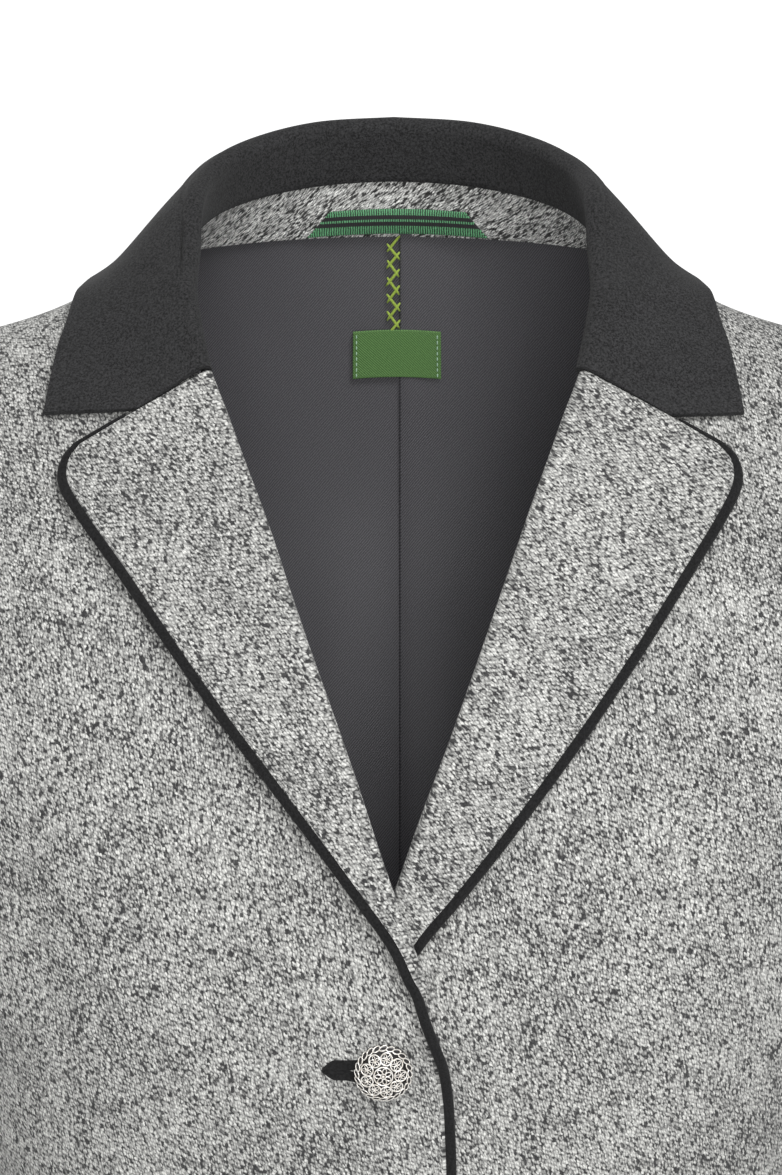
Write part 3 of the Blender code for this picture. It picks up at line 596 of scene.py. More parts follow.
loden_yarn, given, made = new_group(
    "loden_yarn", Lean=0.35, Dark_share=0.2, Pale=(0.5, 0.5, 0.48, 1), Dark=(0.04, 0.04, 0.04, 1)
)
group, where = loden_yarn, given["Vector"]
turned = turned_by(group, where, given["Lean"])
wander = noise(group, turned, 0.9, 1.0).outputs["Color"]
wander = vector_maths(group, "SUBTRACT", wander, (0.5, 0.5, 0.5))
placed = vector_maths(group, "MULTIPLY_ADD", wander, (1.1, 1.1, 0.0), turned)
squeezed = vector_maths(group, "MULTIPLY", placed, (1.0 / YARN_WIDE, 1.0 / YARN_LONG, 1.0))
cells = {"Vector": turned_by(group, squeezed, TWILL_TURN), "Scale": 1.0, "Randomness": 0.62}
cells = add_node(group, "ShaderNodeTexVoronoi", cells, voronoi_dimensions="2D").outputs
chance = add_node(group, "ShaderNodeSeparateColor", {"Color": cells["Color"]}).outputs

# %% Loden: where the dark hairs gather
# Each pair of limits is where a ramp starts and ends; gather is 0 in pale places and near 2 in dark
upright = vector_maths(group, "MULTIPLY", where, (1.0, 0.15, 1.0))
patches = between(group, noise(group, where, 0.11, 3.0).outputs[0], 0.35, 0.68)
slubs = between(group, noise(group, upright, 0.45, 2.0).outputs[0], 0.35, 0.7)
broad = between(group, noise(group, where, 0.022, 2.0).outputs[0], 0.35, 0.65)
specks = noise(group, squeezed, 0.85, 1.0).outputs[0]
gather = scaled(group, broad, 0.45, times(group, maths(group, "ADD", patches, slubs), 0.75))
limit = times(group, scaled(group, gather, 0.8, 0.15), given["Dark share"])
hair = between(group, maths(group, "SUBTRACT", chance[0], limit), 0.0, 0.10)
black = between(group, scaled(group, gather, 0.08, specks), 0.50, 0.68)

# %% Loden: colour and height
tone = times(group, scaled(group, chance[1], 0.42, 0.58), scaled(group, hair, 0.94, 0.06))
tone = times(group, tone, scaled(group, gather, -0.07, 1.07))
tone = times(group, tone, scaled(group, black, -0.45, 1.0))
yarn = between(group, cells["Distance"], 0.60, 0.16)
gap = times(group, scaled(group, gather, -0.14, 0.50), scaled(group, black, -0.95, 1.0))
body = scaled(group, yarn, maths(group, "SUBTRACT", 1.0, gap), gap)
mask = maths(group, "MULTIPLY", tone, body, clamp=True)
group.links.new(mix_colour(group, mask, given["Dark"], given["Pale"]), made["Color"])
group.links.new(times(group, yarn, scaled(group, tone, 0.6, 0.4)), made["Height"])
print("loden group:", len(group.nodes), "nodes")

# %% [markdown]
# ### Felt, twill and ribs
# Felt has no weave: a fine noise for its fibres and a slow one for wear are enough. Twill is a
# set of slanting lines, and ribbon a set of upright ribs, so one group of lines serves the
# lining, the ribbon, the label and the sewing thread.

# %% Felt fibres
felt_fibre, given, made = new_group("felt_fibre", Cloth=(0.04, 0.04, 0.04, 1), Strength=0.35)
group = felt_fibre
fibres = noise(group, given["Vector"], 1.3, 3.0, Roughness=0.8).outputs[0]
worn = noise(group, given["Vector"], 0.07, 3.0).outputs[0]
shade = scaled(group, between(group, fibres, 0.34, 0.66), 2.0, -1.0)
shade = scaled(group, worn, 0.6, maths(group, "ADD", shade, -0.3))
factor = scaled(group, shade, given["Strength"], 1.0)
tint = add_node(group, "ShaderNodeCombineColor", dict.fromkeys(("Red", "Green", "Blue"), factor)).outputs[0]
group.links.new(mix_colour(group, 1.0, given["Cloth"], tint, "MULTIPLY"), made["Color"])
group.links.new(fibres, made["Height"])

# %% Woven lines
woven_lines, given, made = new_group(
    "woven_lines", Turn=0.0, Pitch=0.8, Low=(0.05, 0.05, 0.05, 1), High=(0.08, 0.08, 0.08, 1)
)
group = woven_lines
turned = turned_by(group, given["Vector"], given["Turn"])
place = add_node(group, "ShaderNodeSeparateXYZ", {"Vector": turned}).outputs[0]
loose = noise(group, turned, 0.6, 2.0).outputs[0]
phase = scaled(group, loose, 0.5, maths(group, "DIVIDE", place, given["Pitch"]))
wave = scaled(group, maths(group, "SINE", times(group, phase, math.tau)), 0.5, 0.5)
specks = noise(group, turned, 1.7, 2.0).outputs[0]
share = maths(group, "MULTIPLY_ADD", specks, 1.1, maths(group, "SUBTRACT", wave, 0.6), clamp=True)
group.links.new(mix_colour(group, share, given["Low"], given["High"]), made["Color"])
group.links.new(wave, made["Height"])
print("groups:", [g.name for g in bpy.data.node_groups])


# %% Material helper
def new_material(name, roughness, metallic=0.0, sheen=0.0, sheen_roughness=0.5):
    """A material and its Principled shader; what is the same all over is set on the shader."""
    material = bpy.data.materials.new(name)
    material.use_nodes = True
    shader = material.node_tree.nodes["Principled BSDF"]
    shader.inputs["Roughness"].default_value = roughness
    shader.inputs["Metallic"].default_value = metallic
    shader.inputs["Sheen Weight"].default_value = sheen
    shader.inputs["Sheen Roughness"].default_value = sheen_roughness
    return material, material.node_tree, shader


def in_mm(tree, flat=True):
    """Coordinates in millimetres: along the grain where flat, or in space."""
    source = tree.nodes.new("ShaderNodeTexCoord").outputs["UV" if flat else "Object"]
    return vector_maths(tree, "MULTIPLY", source, (1 / MM, 1 / MM, 1 / MM))


def finish(tree, shader, colour, height, depth, strength):
    """Links a colour and a bump of the given depth, in metres, to the shader."""
    tree.links.new(colour, shader.inputs["Base Color"])
    bump = add_node(tree, "ShaderNodeBump", {"Height": height, "Distance": depth, "Strength": strength})
    tree.links.new(bump.outputs[0], shader.inputs["Normal"])


# %% Loden
def make_loden(name, lean, dark_share=0.045, pale=(0.68, 0.68, 0.652, 1), dark=(0.016, 0.016, 0.017, 1)):
    """A loden whose floats lean by so many degrees."""
    material, tree, shader = new_material(name, 0.92, sheen=0.12)
    inputs = {"Vector": in_mm(tree), "Lean": math.radians(lean)}
    made = use_group(tree, loden_yarn, inputs | {"Dark share": dark_share, "Pale": pale, "Dark": dark})
    finish(tree, shader, made["Color"], made["Height"], 0.35 * MM, 0.55)
    return material


loden = make_loden("loden", -24)
loden_lapel = make_loden("loden_lapel", -48)
# The facing is the same loden as the outside, but its yarn is made far paler: painted light, so that in the
# shade inside the neck it shows as bright as the outside. Its larger share of darker hairs is the facing's
# own stronger contrast.
loden_facing = make_loden("loden_facing", 10, 0.13, (1.0, 1.0, 0.97, 1), (0.006, 0.006, 0.006, 1))


# %% Felt and lining
def make_felt(name, cloth, strength):
    """A felt of one colour; strength is how much its fibres vary."""
    material, tree, shader = new_material(name, 0.95, sheen=0.04, sheen_roughness=0.6)
    shader.inputs["Specular IOR Level"].default_value = 0.2
    inputs = {"Vector": in_mm(tree, flat=False), "Cloth": cloth, "Strength": strength}
    made = use_group(tree, felt_fibre, inputs)
    finish(tree, shader, made["Color"], made["Height"], 0.12 * MM, 0.5)
    return material


felt = make_felt("felt", (0.0205, 0.0205, 0.0212, 1), 0.75)
felt_trim = make_felt("felt_trim", (0.0085, 0.0085, 0.0088, 1), 0.6)


def make_woven(name, low, high, pitch, turn=0.0, depth=0.15 * MM, strength=0.7, roughness=0.7, sheen=0.1):
    """A cloth or thread of woven lines; low and high are the colours between and on the lines."""
    material, tree, shader = new_material(name, roughness, sheen=sheen)
    inputs = {"Vector": in_mm(tree), "Turn": turn, "Pitch": pitch, "Low": low, "High": high}
    made = use_group(tree, woven_lines, inputs)
    finish(tree, shader, made["Color"], made["Height"], depth, strength)
    return material, tree, shader, made


LINING_LOW, LINING_HIGH = (0.026, 0.025, 0.029, 1), (0.108, 0.105, 0.115, 1)
twill_turn = math.radians(-40)
lining = make_woven("lining_twill", LINING_LOW, LINING_HIGH, 0.8, twill_turn, 0.08 * MM, 0.4, 0.55, 0.08)[0]

# %% [markdown]
# ### Ribbon, label and thread
# The hanger ribbon is green with two black stripes. The stripes are read from the V of its UV
# map, which runs across the ribbon in millimetres, and the ribs from U. The label is the same
# green weave, left bare.

# %% Ribbon, label and threads
STRIPES = ((2.0, 3.5), (4.4, 6.0))
STRIPE_COLOUR = (0.008, 0.008, 0.009, 1)

ribbon, tree, shader, made = make_woven("ribbon", (0.0, 0.004, 0.002, 1), (0.125, 0.380, 0.180, 1), 0.92)
across = add_node(tree, "ShaderNodeSeparateXYZ", {"Vector": in_mm(tree)}).outputs[1]
stripe = 0.0
for start, end in STRIPES:
    past, before = maths(tree, "GREATER_THAN", across, start), maths(tree, "LESS_THAN", across, end)
    stripe = maths(tree, "ADD", times(tree, past, before), stripe)
tree.links.new(mix_colour(tree, stripe, made["Color"], STRIPE_COLOUR), shader.inputs["Base Color"])
LABEL_LOW, LABEL_HIGH = (0.030, 0.098, 0.016, 1), (0.118, 0.240, 0.068, 1)
label_weave = make_woven("label_weave", LABEL_LOW, LABEL_HIGH, 0.7, 0.8, 0.08 * MM)[0]
lime_thread = make_woven("lime_thread", (0.16, 0.27, 0.015, 1), (0.46, 0.58, 0.10, 1), 0.42, 0.7, 0.1 * MM)[0]
pale_thread = make_woven("pale_thread", (0.25, 0.42, 0.30, 1), (0.50, 0.68, 0.55, 1), 0.3)[0]

# %% [markdown]
# ### Silver
# The buttons are cast filigree in old silver: polished where a thumb rubs, and black down in
# the holes. The wires and the ground below them are separate meshes, so each gets a material
# of its own, and a noise breaks up the polish.

# %% Silver
def make_silver(name, bright, dull, metallic):
    """A silver that goes from dull to bright in small spots."""
    material, tree, shader = new_material(name, 0.3, metallic=metallic)
    spots = noise(tree, in_mm(tree, flat=False), 1.1, 4.0).outputs[0]
    colour = mix_colour(tree, between(tree, spots, 0.35, 0.65), dull, bright)
    finish(tree, shader, colour, spots, 0.05 * MM, 0.4)
    tree.links.new(between(tree, spots, 0.3, 0.7, 0.42, 0.22), shader.inputs["Roughness"])
    return material


silver_wire = make_silver("silver_wire", (1.0, 0.98, 0.94, 1), (0.66, 0.62, 0.56, 1), 0.6)
silver_ground = make_silver("silver_ground", (0.014, 0.012, 0.011, 1), (0.006, 0.005, 0.005, 1), 0.0)
print("materials:", sorted(material.name for material in bpy.data.materials))

# %% [markdown]
# ## Body panels
# Two fronts and two backs make the body. Their rows run along the shoulder, round the armhole
# and down the side, and both panels of a seam use the same rows, so the seam closes. The fronts
# stop at their cut edge just inside the lapel's fold, and their inner faces show the lining.

# %% Rows and edges of the panels
HALVINGS = 40
ARMHOLE_FRONT = math.radians(34)
ARMHOLE_BACK = math.radians(30)
ARMHOLE_STEPS = 8
SHOULDER_ROWS, ARMHOLE_ROWS, BODY_ROWS = 34, 60, 92
FRONT_COLUMNS, BACK_COLUMNS = 58, 54
SEAM = 0.02 * MM
# Columns: z, out
EDGE_ROWS = (
    (8, 76),
    (-5, 74.3),
    (-20, 72),
    (-35, 69),
    (-50, 63),
    (-90, 47.5),
    (-138, 29),
    (-184, 12),
    (-206, 5.7),
    (-225, -1.5),
    (-240, -7),
    (-252, -8.2),
    (-257, -12.0),
    (-263, -14.3),
    (-269.5, -15.9),
    (-281, -17.4),
    (-305, -18.3),
    (-600, -18.3),
)


def armhole_level(step):
    """The ring that the armhole crosses at a step from the shoulder tip to the underarm."""
    return (TIP + UNDERARM) / 2 - (UNDERARM - TIP) / 2 * np.cos(math.pi * np.asarray(step) / ARMHOLE_STEPS)


def armhole_angle(step, depth):
    """How far round from the side the armhole lies at that step."""
    return depth * np.sin(math.pi * np.asarray(step) / ARMHOLE_STEPS)


def panel_rows(depth):
    """The levels of a body panel's rows, and the angle of its outer edge from the side."""
    shoulder = np.linspace(NECK, TIP, SHOULDER_ROWS, endpoint=False)
    steps = np.linspace(0, ARMHOLE_STEPS, ARMHOLE_ROWS, endpoint=False)
    body = np.linspace(UNDERARM, HEM, BODY_ROWS + 1)
    levels = np.concatenate((shoulder, armhole_level(steps), body))
    notches = np.concatenate((shoulder * 0, armhole_angle(steps, depth), body * 0))
    return levels, notches


def edge_out(z):
    """Where the cut edge of a front lies at a height."""
    table = np.array(EDGE_ROWS) * MM
    return np.interp(-np.asarray(z), -table[:, 0], table[:, 1])


def front_edge_angle(level):
    """The angles at which rings meet the cut edge of the front, found by halving."""
    low, high = (np.full(np.shape(level), math.radians(degrees)) for degrees in (-20, 90))
    for _ in range(HALVINGS):
        middle = (low + high) / 2
        point = form_point(middle, level)
        past = point[..., 0] > edge_out(point[..., 2])
        low, high = np.where(past, low, middle), np.where(past, middle, high)
    return (low + high) / 2


def on_cloth(side, angle, level, depth, lift=None):
    """Points on the dressed form: mirrored to a side, with overlap and creases, less a depth."""
    points, normals = form_point(angle, level), form_normal(angle, level)
    out = points[..., 0]
    points, normals = points * (side, 1, 1), normals * (side, 1, 1)
    height = crease(points) - depth
    if lift is not None:
        height = height + lift(side, out, points[..., 2])
    return points + normals * height[..., None]


def cut_pair(name, grid_of, depths, materials, flat_top=False):
    """The right and the left piece of a pair, from a function that gives the grid at a depth."""
    pair = {}
    for side, side_name in SIDES:
        outer, inner = (grid_of(side, depth) for depth in depths)
        pair[side] = shell(name + side_name, outer, inner, grain(outer, flat_top), materials)
        print(pair[side].name, len(pair[side].data.polygons), "faces")
    return pair


# %% Fronts
def front_grid(side, depth):
    """Points of one front, row by row from the neck to the hem."""
    levels, notches = panel_rows(ARMHOLE_FRONT)
    inner_levels, inner_angles = levels.copy(), front_edge_angle(levels)
    above = int((levels < UNDERARM).sum())
    fine = np.linspace(NECK, UNDERARM, 300)
    angles = front_edge_angle(fine)
    heights = form_point(angles, fine)[:, 2]
    z = heights[0] + (heights[-1] - heights[0]) * np.arange(above) / above
    inner_angles[:above] = np.interp(-z, -heights, angles)
    inner_levels[:above] = np.interp(-z, -heights, fine)
    t = np.linspace(0, 1, FRONT_COLUMNS + 1)
    angle = inner_angles[:, None] + ((math.pi / 2 - notches) - inner_angles)[:, None] * t
    level = inner_levels[:, None] + (levels - inner_levels)[:, None] * t
    return trim(on_cloth(side, angle, level, depth, front_lift), 0.0, SEAM)


fronts = cut_pair("loden_front_", front_grid, (0.0, TWEED), (loden, lining), flat_top=True)


# %% Backs
def back_point(side, angle, level, depth):
    """Points of the back at a depth under the form; the angle runs from the centre back."""
    return on_cloth(side, math.pi - angle, level, depth)


def back_grid(side, depth):
    """Rows of points across one half of the back, from its centre seam to its outer edge."""
    levels, notches = panel_rows(ARMHOLE_BACK)
    angles = (math.pi / 2 - notches)[:, None] * np.linspace(0, 1, BACK_COLUMNS + 1)
    return trim(back_point(side, angles, levels[:, None], depth), SEAM, SEAM)


backs = cut_pair("loden_back_", back_grid, (0.0, TWEED), (loden, lining), flat_top=True)

# %% [markdown]
# ## Lapels
# A lapel is the top of the front turned back on itself. It comes up out of the front's cut
# edge, folds over with a soft round roll, and lies on the front down to its piped edge. Its
# table gives the fold and the edge opposite it, station by station, and the left one is wider
# where it shows below the right.

# %% Lapels
# Columns: roll_out, roll_z, edge_out, edge_z, left_wider
LAPEL_ROWS = (
    (64.5, -35.5, 109.5, -62, 3.5),
    (62.3, -41, 113.2, -67, 4.2),
    (58.5, -50, 113.3, -74, 4.6),
    (53.5, -63, 106.5, -84, 6),
    (46, -82, 92.2, -102, 7.9),
    (37.7, -104, 75, -125, 9.3),
    (29.5, -126.5, 56.8, -149, 10.3),
    (21.2, -149, 40.1, -170, 11),
    (13, -172, 24.3, -190, 11),
    (5, -195.5, 10.1, -208.5, 9.9),
    (-3.2, -218, -0.9, -223.5, 8.2),
    (-9.6, -235, -8.2, -239, 7.4),
    (-13.6, -249, -12.6, -250.5, 7),
)
LAPEL_LAST = {RIGHT: 11.3, LEFT: 10.5}
LAPEL_STATIONS = 100
LAPEL_LEG = 3.3 * MM
LAPEL_FOLD = 2.0 * MM
LAPEL_LIFT = 3.8 * MM
LEFT_ROLL = 1.5 * MM


def lapel_ends(side, position):
    """The roll point and the edge point (out, z) of a lapel at a place along its table."""
    roll_out, roll_z, edge_away, edge_z, wider = spline(LAPEL_ROWS, position) * MM
    if side == LEFT:
        edge_away += wider
        roll_out += LEFT_ROLL * (1 - float(ease(position, 7, 9)))
    return np.array((roll_out, roll_z)), np.array((edge_away, edge_z))


def folded_section(side, line, radius, lift, leg_steps=4, fold_steps=10, top_steps=34):
    """The middle of a cloth that comes out of the front's edge, folds, and lies over the front.

    line is the (out, z) route of the upper layer from the fold to its edge. The lower layer
    runs under the first part of it, for the length of the leg.
    """
    line = np.asarray(line)
    lengths = np.concatenate(((0.0,), np.cumsum(np.linalg.norm(np.diff(line, axis=0), axis=1))))
    low, top = -TWEED / 2, -TWEED / 2 + 2 * radius
    section = [(LAPEL_LEG + (radius - LAPEL_LEG) * k / leg_steps, low) for k in range(leg_steps)]
    for k in range(fold_steps + 1):
        turn = math.pi * k / fold_steps
        section.append((radius * (1 - math.sin(turn)), low + radius * (1 - math.cos(turn))))
    for k in range(1, top_steps + 1):
        t = k / top_steps
        section.append((radius + (lengths[-1] - radius) * t, top + (lift - top) * float(ease(t, 0.0, 0.7))))
    points = []
    for run, height in section:
        out, z = (np.interp(run, lengths, line[:, k]) for k in range(2))
        points.append(on_front(side, out, z, height)[0])
    return np.array(points)


lapels = {}
for side, name in SIDES:
    stations = np.linspace(0, LAPEL_LAST[side], LAPEL_STATIONS + 1)
    grid = np.array([folded_section(side, lapel_ends(side, at), LAPEL_FOLD, LAPEL_LIFT) for at in stations])
    weave = grain(grid[:, ::-1])[:, ::-1]
    lapels[side] = thick_shell("loden_lapel_" + name, grid, TWEED, weave, (loden_lapel,), roll=0.6)
    print(lapels[side].name, "widest", round(max(np.linalg.norm(grid[:, -1] - grid[:, 10], axis=1)), 3), "m")

# %% [markdown]
# ## Piping
# A felt cord edges both lapels, and on the right it runs on down the front edge to the hem.
# It is thinner along the lapel's top edge. Both are one tube each, laid along the edge so that
# it covers the cut.

# %% Piping
PIPING_WIDTH = 3.8 * MM
PIPING_HEIGHT = 3.0 * MM
PIPING_OVER = 0.35 * MM
PIPING_RISE, PIPING_THIN = 0.6 * MM, 0.55
PIPING_STATIONS = 48
NOTCH = {RIGHT: (89, -49.6), LEFT: (95.5, -51.8)}
PIPING_POINTS = {RIGHT: 320, LEFT: 190}
FRONT_PIPING_Z = (-263, -270, -278, -290, -310, -350, -400, -450, -500, -550, -600)


def piping_route(side):
    """(out, z, height, width) along the piping: the lapel's edges, then the right front's edge."""
    _, corner = lapel_ends(side, 0.0)
    notch = np.array(NOTCH[side]) * MM
    route = []
    for t in (0.2, 0.55):
        place = notch + (corner - notch) * t
        route.append((place[0], place[1] + PIPING_RISE, LAPEL_LIFT, PIPING_THIN))
    for k in range(PIPING_STATIONS + 1):
        position = LAPEL_LAST[side] * k / PIPING_STATIONS
        (_, here), (_, ahead), (_, behind) = (lapel_ends(side, position + step) for step in (0, 0.02, -0.02))
        run = unit(ahead - behind)
        width = min(1.0, 0.6 + 0.2 * position)
        place = here + np.array((-run[1], run[0])) * (width * PIPING_WIDTH / 2 - PIPING_OVER)
        route.append((place[0], place[1], LAPEL_LIFT, width))
    if side == RIGHT:
        for z in FRONT_PIPING_Z:
            out = float(edge_out(z * MM)) + PIPING_OVER - PIPING_WIDTH / 2
            height = LAPEL_LIFT - (LAPEL_LIFT + TWEED / 2) * float(ease(-z, 257, 270))
            route.append((out, z * MM, height, 1.0))
    return route


pipings = {}
for side, name in SIDES:
    route = resample(piping_route(side), PIPING_POINTS[side])
    laid = [on_front(side, out, max(z, HEM_Z), height) for out, z, height, _ in route]
    path, normals = np.array([place for place, _ in laid]), np.array([normal for _, normal in laid])
    taper = 1 - 0.5 * (1 - ease(np.minimum(np.arange(len(route)), np.arange(len(route))[::-1]), -1, 3))
    parts = tube(path, normals, route[:, 3] * PIPING_WIDTH * taper, route[:, 3] * PIPING_HEIGHT * taper)
    pipings[side] = add_mesh("felt_piping_" + name, *parts, (felt_trim,))

# %% [markdown]
# ## Collar
# One strip of thick felt stands up round the neck, folds over and falls on the shoulders. Each
# station is a section through it: up the stand from the neck seam, round the fold, and down
# the fall, which is kept clear of the body below. At its front ends it lies flat on the fronts,
# beside the lapels, and stops at a straight cut edge.

# %% Collar
FELT = 2.4 * MM
# Columns: fold_x, fold_y, fold_z, seam_angle, edge_x, edge_y, edge_z
COLLAR_ROWS = (
    (0, 65, 44.5, 180, 0, 90, 0),
    (28, 60, 43, 157, 38, 86, -3),
    (51, 45, 38, 133, 74, 70, -8),
    (65, 25, 31, 111, 98, 40, -12),
    (70.5, 1, 21, 90, 109.5, 5, -15),
    (70, -24, -8, 73, 117, -23, -28),
    (66, -44, -30, 61, 122.5, -42, -48),
)
COLLAR_STATIONS = 80
COLLAR_FOLD = 2.9 * MM
COLLAR_LIFT = 3.1 * MM
COLLAR_GORGE = (64.5, -34.6)
COLLAR_TIP = (122.5, -51.8)
STAND_LEVEL = 1.05
STAND_DEPTH = 6.0 * MM
FALL_BEND = 0.2
FALL_BULGE = 6.0 * MM
STAND_STEPS, FOLD_STEPS, FALL_STEPS = 8, 12, 40


def collar_section(side, position):
    """The middle of the collar across one station: up the stand, over the fold, down the fall."""
    row = spline(COLLAR_ROWS, position)
    fold, edge = row[0:3] * MM * (side, 1, 1), row[4:7] * MM * (side, 1, 1)
    angle = math.radians(row[3])
    foot = form_point(angle, STAND_LEVEL) - form_normal(angle, STAND_LEVEL) * STAND_DEPTH
    foot = foot * (side, 1, 1)
    apex = -unit(unit(foot - fold) + unit(edge - fold))
    centre = fold - apex * COLLAR_FOLD
    away = unit((edge - centre) - apex * ((edge - centre) @ apex))
    start = centre - away * COLLAR_FOLD
    section = [foot + (start - foot) * k / STAND_STEPS for k in range(STAND_STEPS)]
    for k in range(FOLD_STEPS + 1):
        turn = math.pi * k / FOLD_STEPS
        section.append(centre + COLLAR_FOLD * (apex * math.sin(turn) - away * math.cos(turn)))
    start = section[-1]
    bend = start - apex * np.linalg.norm(edge - start) * FALL_BEND + away * FALL_BULGE
    for k in range(1, FALL_STEPS + 1):
        t = k / FALL_STEPS
        section.append(keep_clear(start * (1 - t) ** 2 + bend * 2 * t * (1 - t) + edge * t * t, COLLAR_LIFT))
    return np.array(section)


def collar_half(side):
    """All stations of one side, from the centre back to the front end."""
    gorge, notch, tip = np.array(COLLAR_GORGE), np.array(NOTCH[side]), np.array(COLLAR_TIP)
    share = (notch[0] - gorge[0]) / (tip[0] - gorge[0])
    middle = gorge + (tip - gorge) * share
    last = len(COLLAR_ROWS) - 1
    sections = []
    for position in np.linspace(0, last, COLLAR_STATIONS + 1):
        section = collar_section(side, position)
        blend = float(ease(position, last - 1.6, last - 0.9))
        if blend > 0:
            row = spline(COLLAR_ROWS, position)
            near_end = float(ease(position, last - 1.0, last))
            fold = row[[0, 2]] + (gorge - row[[0, 2]]) * near_end
            edge = row[[4, 6]] + (tip - row[[4, 6]]) * near_end
            bend = fold + (edge - fold) * share + (notch - middle) * near_end**2
            line = np.array((fold, bend, edge)) * MM
            steps = (STAND_STEPS, FOLD_STEPS, FALL_STEPS)
            flat = folded_section(side, line, COLLAR_FOLD, COLLAR_LIFT, *steps)
            section = section * (1 - blend) + flat * blend
        sections.append(section)
    return sections


grid = np.array(collar_half(RIGHT)[::-1] + collar_half(LEFT)[1:])
collar = thick_shell("felt_collar", grid, FELT, grain(grid), (felt,), roll=0.35)
fall = np.linalg.norm(grid[COLLAR_STATIONS, -1] - grid[COLLAR_STATIONS, STAND_STEPS + FOLD_STEPS // 2])
print(collar.name, "fall at the centre back", round(fall, 3), "m")

# %% [markdown]
# ## Sleeves
# A tailored sleeve has two pieces, a wide top sleeve over the arm and a narrow one under it.
# Both are cut from one surface here: columns leave the armhole square to it, round over the
# shoulder or drop under the arm, and run down an arm that bends a little forward. The cloth
# folds inside the elbow, so the creases there are the deepest of the whole jacket.

# %% Sleeve surface
# Columns: x, y, z, half_x, half_y
SLEEVE_ROWS = (
    (222, 5, -275, 46, 60),
    (235, 3, -345, 45, 56),
    (246, -3, -415, 43, 52),
    (255, -16, -500, 39, 47),
    (261, -35, -575, 36, 43),
    (265, -54, -635, 35, 41),
)
CAP_ROWS, ARM_ROWS = 34, 84
RING_STEPS = 12
FRONT_SEAM, BACK_SEAM = 6, 5
SLEEVE_CLEAR, SLEEVE_SOFT = 3.0 * MM, 0.4 * MM
ARMHOLE_GROOVE = 0.3 * MM
LEAVE_TOP = np.array((1.0, 0.0, -0.30)) * 0.17
LEAVE_UNDER = np.array((0.20, 0.0, -1.0)) * 0.04
ARC_PER_DEGREE = 0.72
# Creases in millimetres: x0 and x1 run round the arm from its outside, forward being positive
SLEEVE_CREASES = (
    (34, -398, 88, -386, 8, 1.9),
    (28, -419, 96, -412, 7, 2.3),
    (40, -443, 86, -434, 8, 1.6),
    (26, -372, 66, -356, 10, 1.2),
    (-26, -452, -8, -560, 17, 1.2),
    (66, -486, 50, -572, 13, 1.2),
    (24, -150, 64, -270, 15, 1.4),
    (-38, -146, -66, -256, 16, 1.4),
    (4, -596, 48, -606, 9, 0.8),
    (-84, -340, -62, -400, 12, 1.3),
)
CREASE_SHIFT = {RIGHT: 0.0, LEFT: 6.0 * MM}


def arm_ring(side, position, turn):
    """Points of the sleeve below the armpit; turn 0 is outside, 90 in front and 180 inside."""
    x, y, z, half_x, half_y = np.moveaxis(spline(SLEEVE_ROWS, position) * MM, -1, 0)
    ahead = spline(SLEEVE_ROWS, position + 0.05) - spline(SLEEVE_ROWS, position - 0.05)
    lean_x, lean_y = ahead[..., 0] / ahead[..., 2], ahead[..., 1] / ahead[..., 2]
    step_x, step_y = half_x * math.cos(turn), -half_y * math.sin(turn)
    points = np.stack((x + step_x, y + step_y, z - lean_x * step_x - lean_y * step_y), axis=-1)
    return points * (side, 1, 1)


def armhole_point(side, step):
    """A point of the armhole seam; steps count from the shoulder tip, in front positive."""
    notch = armhole_angle(abs(step), ARMHOLE_FRONT if step >= 0 else ARMHOLE_BACK)
    angle = math.pi / 2 - math.copysign(notch, step)
    return form_point(angle, armhole_level(abs(step))) * (side, 1, 1)


def cap_direction(side, turn):
    """How the sleeve leaves the armhole: outwards at the top, downwards under the arm."""
    top = (1 + math.cos(turn)) / 2
    beside = np.array((0.25, -0.45 * math.sin(turn), -0.55)) * 0.10 * abs(math.sin(turn))
    return (LEAVE_TOP * top * top + LEAVE_UNDER * (1 - top) + beside) * (side, 1, 1)


def sleeve_column(side, step):
    """The outer surface of the sleeve from one armhole point down to the cuff."""
    turn = math.pi * step / ARMHOLE_STEPS
    start, leave = armhole_point(side, step), cap_direction(side, turn)
    end = arm_ring(side, 0.0, turn)
    arrive = (arm_ring(side, 0.05, turn) - end) * 20
    arrive = unit(arrive) * np.linalg.norm(end - start) * 0.8
    t = np.linspace(0, 1, CAP_ROWS + 1)[1:, None]
    cap = (2 * t**3 - 3 * t**2 + 1) * start + (t**3 - 2 * t**2 + t) * leave
    cap = cap + (3 * t**2 - 2 * t**3) * end + (t**3 - t**2) * arrive
    arm = arm_ring(side, np.linspace(0, len(SLEEVE_ROWS) - 1, ARM_ROWS + 1)[1:], turn)
    column = [start + unit(leave) * ARMHOLE_GROOVE]
    column += [keep_clear(point, SLEEVE_CLEAR * share, SLEEVE_SOFT) for point, share in zip(cap, t[:, 0])]
    return column + [keep_clear(point, SLEEVE_CLEAR, SLEEVE_SOFT) for point in arm]


def sleeve_surfaces(side):
    """The whole sleeve's outer and inner points, ring position by row."""
    steps = np.arange(-ARMHOLE_STEPS * RING_STEPS, ARMHOLE_STEPS * RING_STEPS) / RING_STEPS
    outer = np.array([sleeve_column(side, step) for step in steps])
    around = np.concatenate((outer[-1:], outer, outer[:1]))
    normals = grid_normals(around)[1:-1]
    normals = normals * np.sign(((outer - outer.mean(axis=0)) * normals).sum())
    arc = steps[:, None] * 180 / ARMHOLE_STEPS * ARC_PER_DEGREE * MM + outer[..., 2] * 0
    lift = crease_depth(SLEEVE_CREASES, arc, outer[..., 2] + CREASE_SHIFT[side])
    lift = lift * ease(np.arange(outer.shape[1]), 2, 14)
    outer = outer + normals * lift[..., None]
    return outer, outer - normals * TWEED


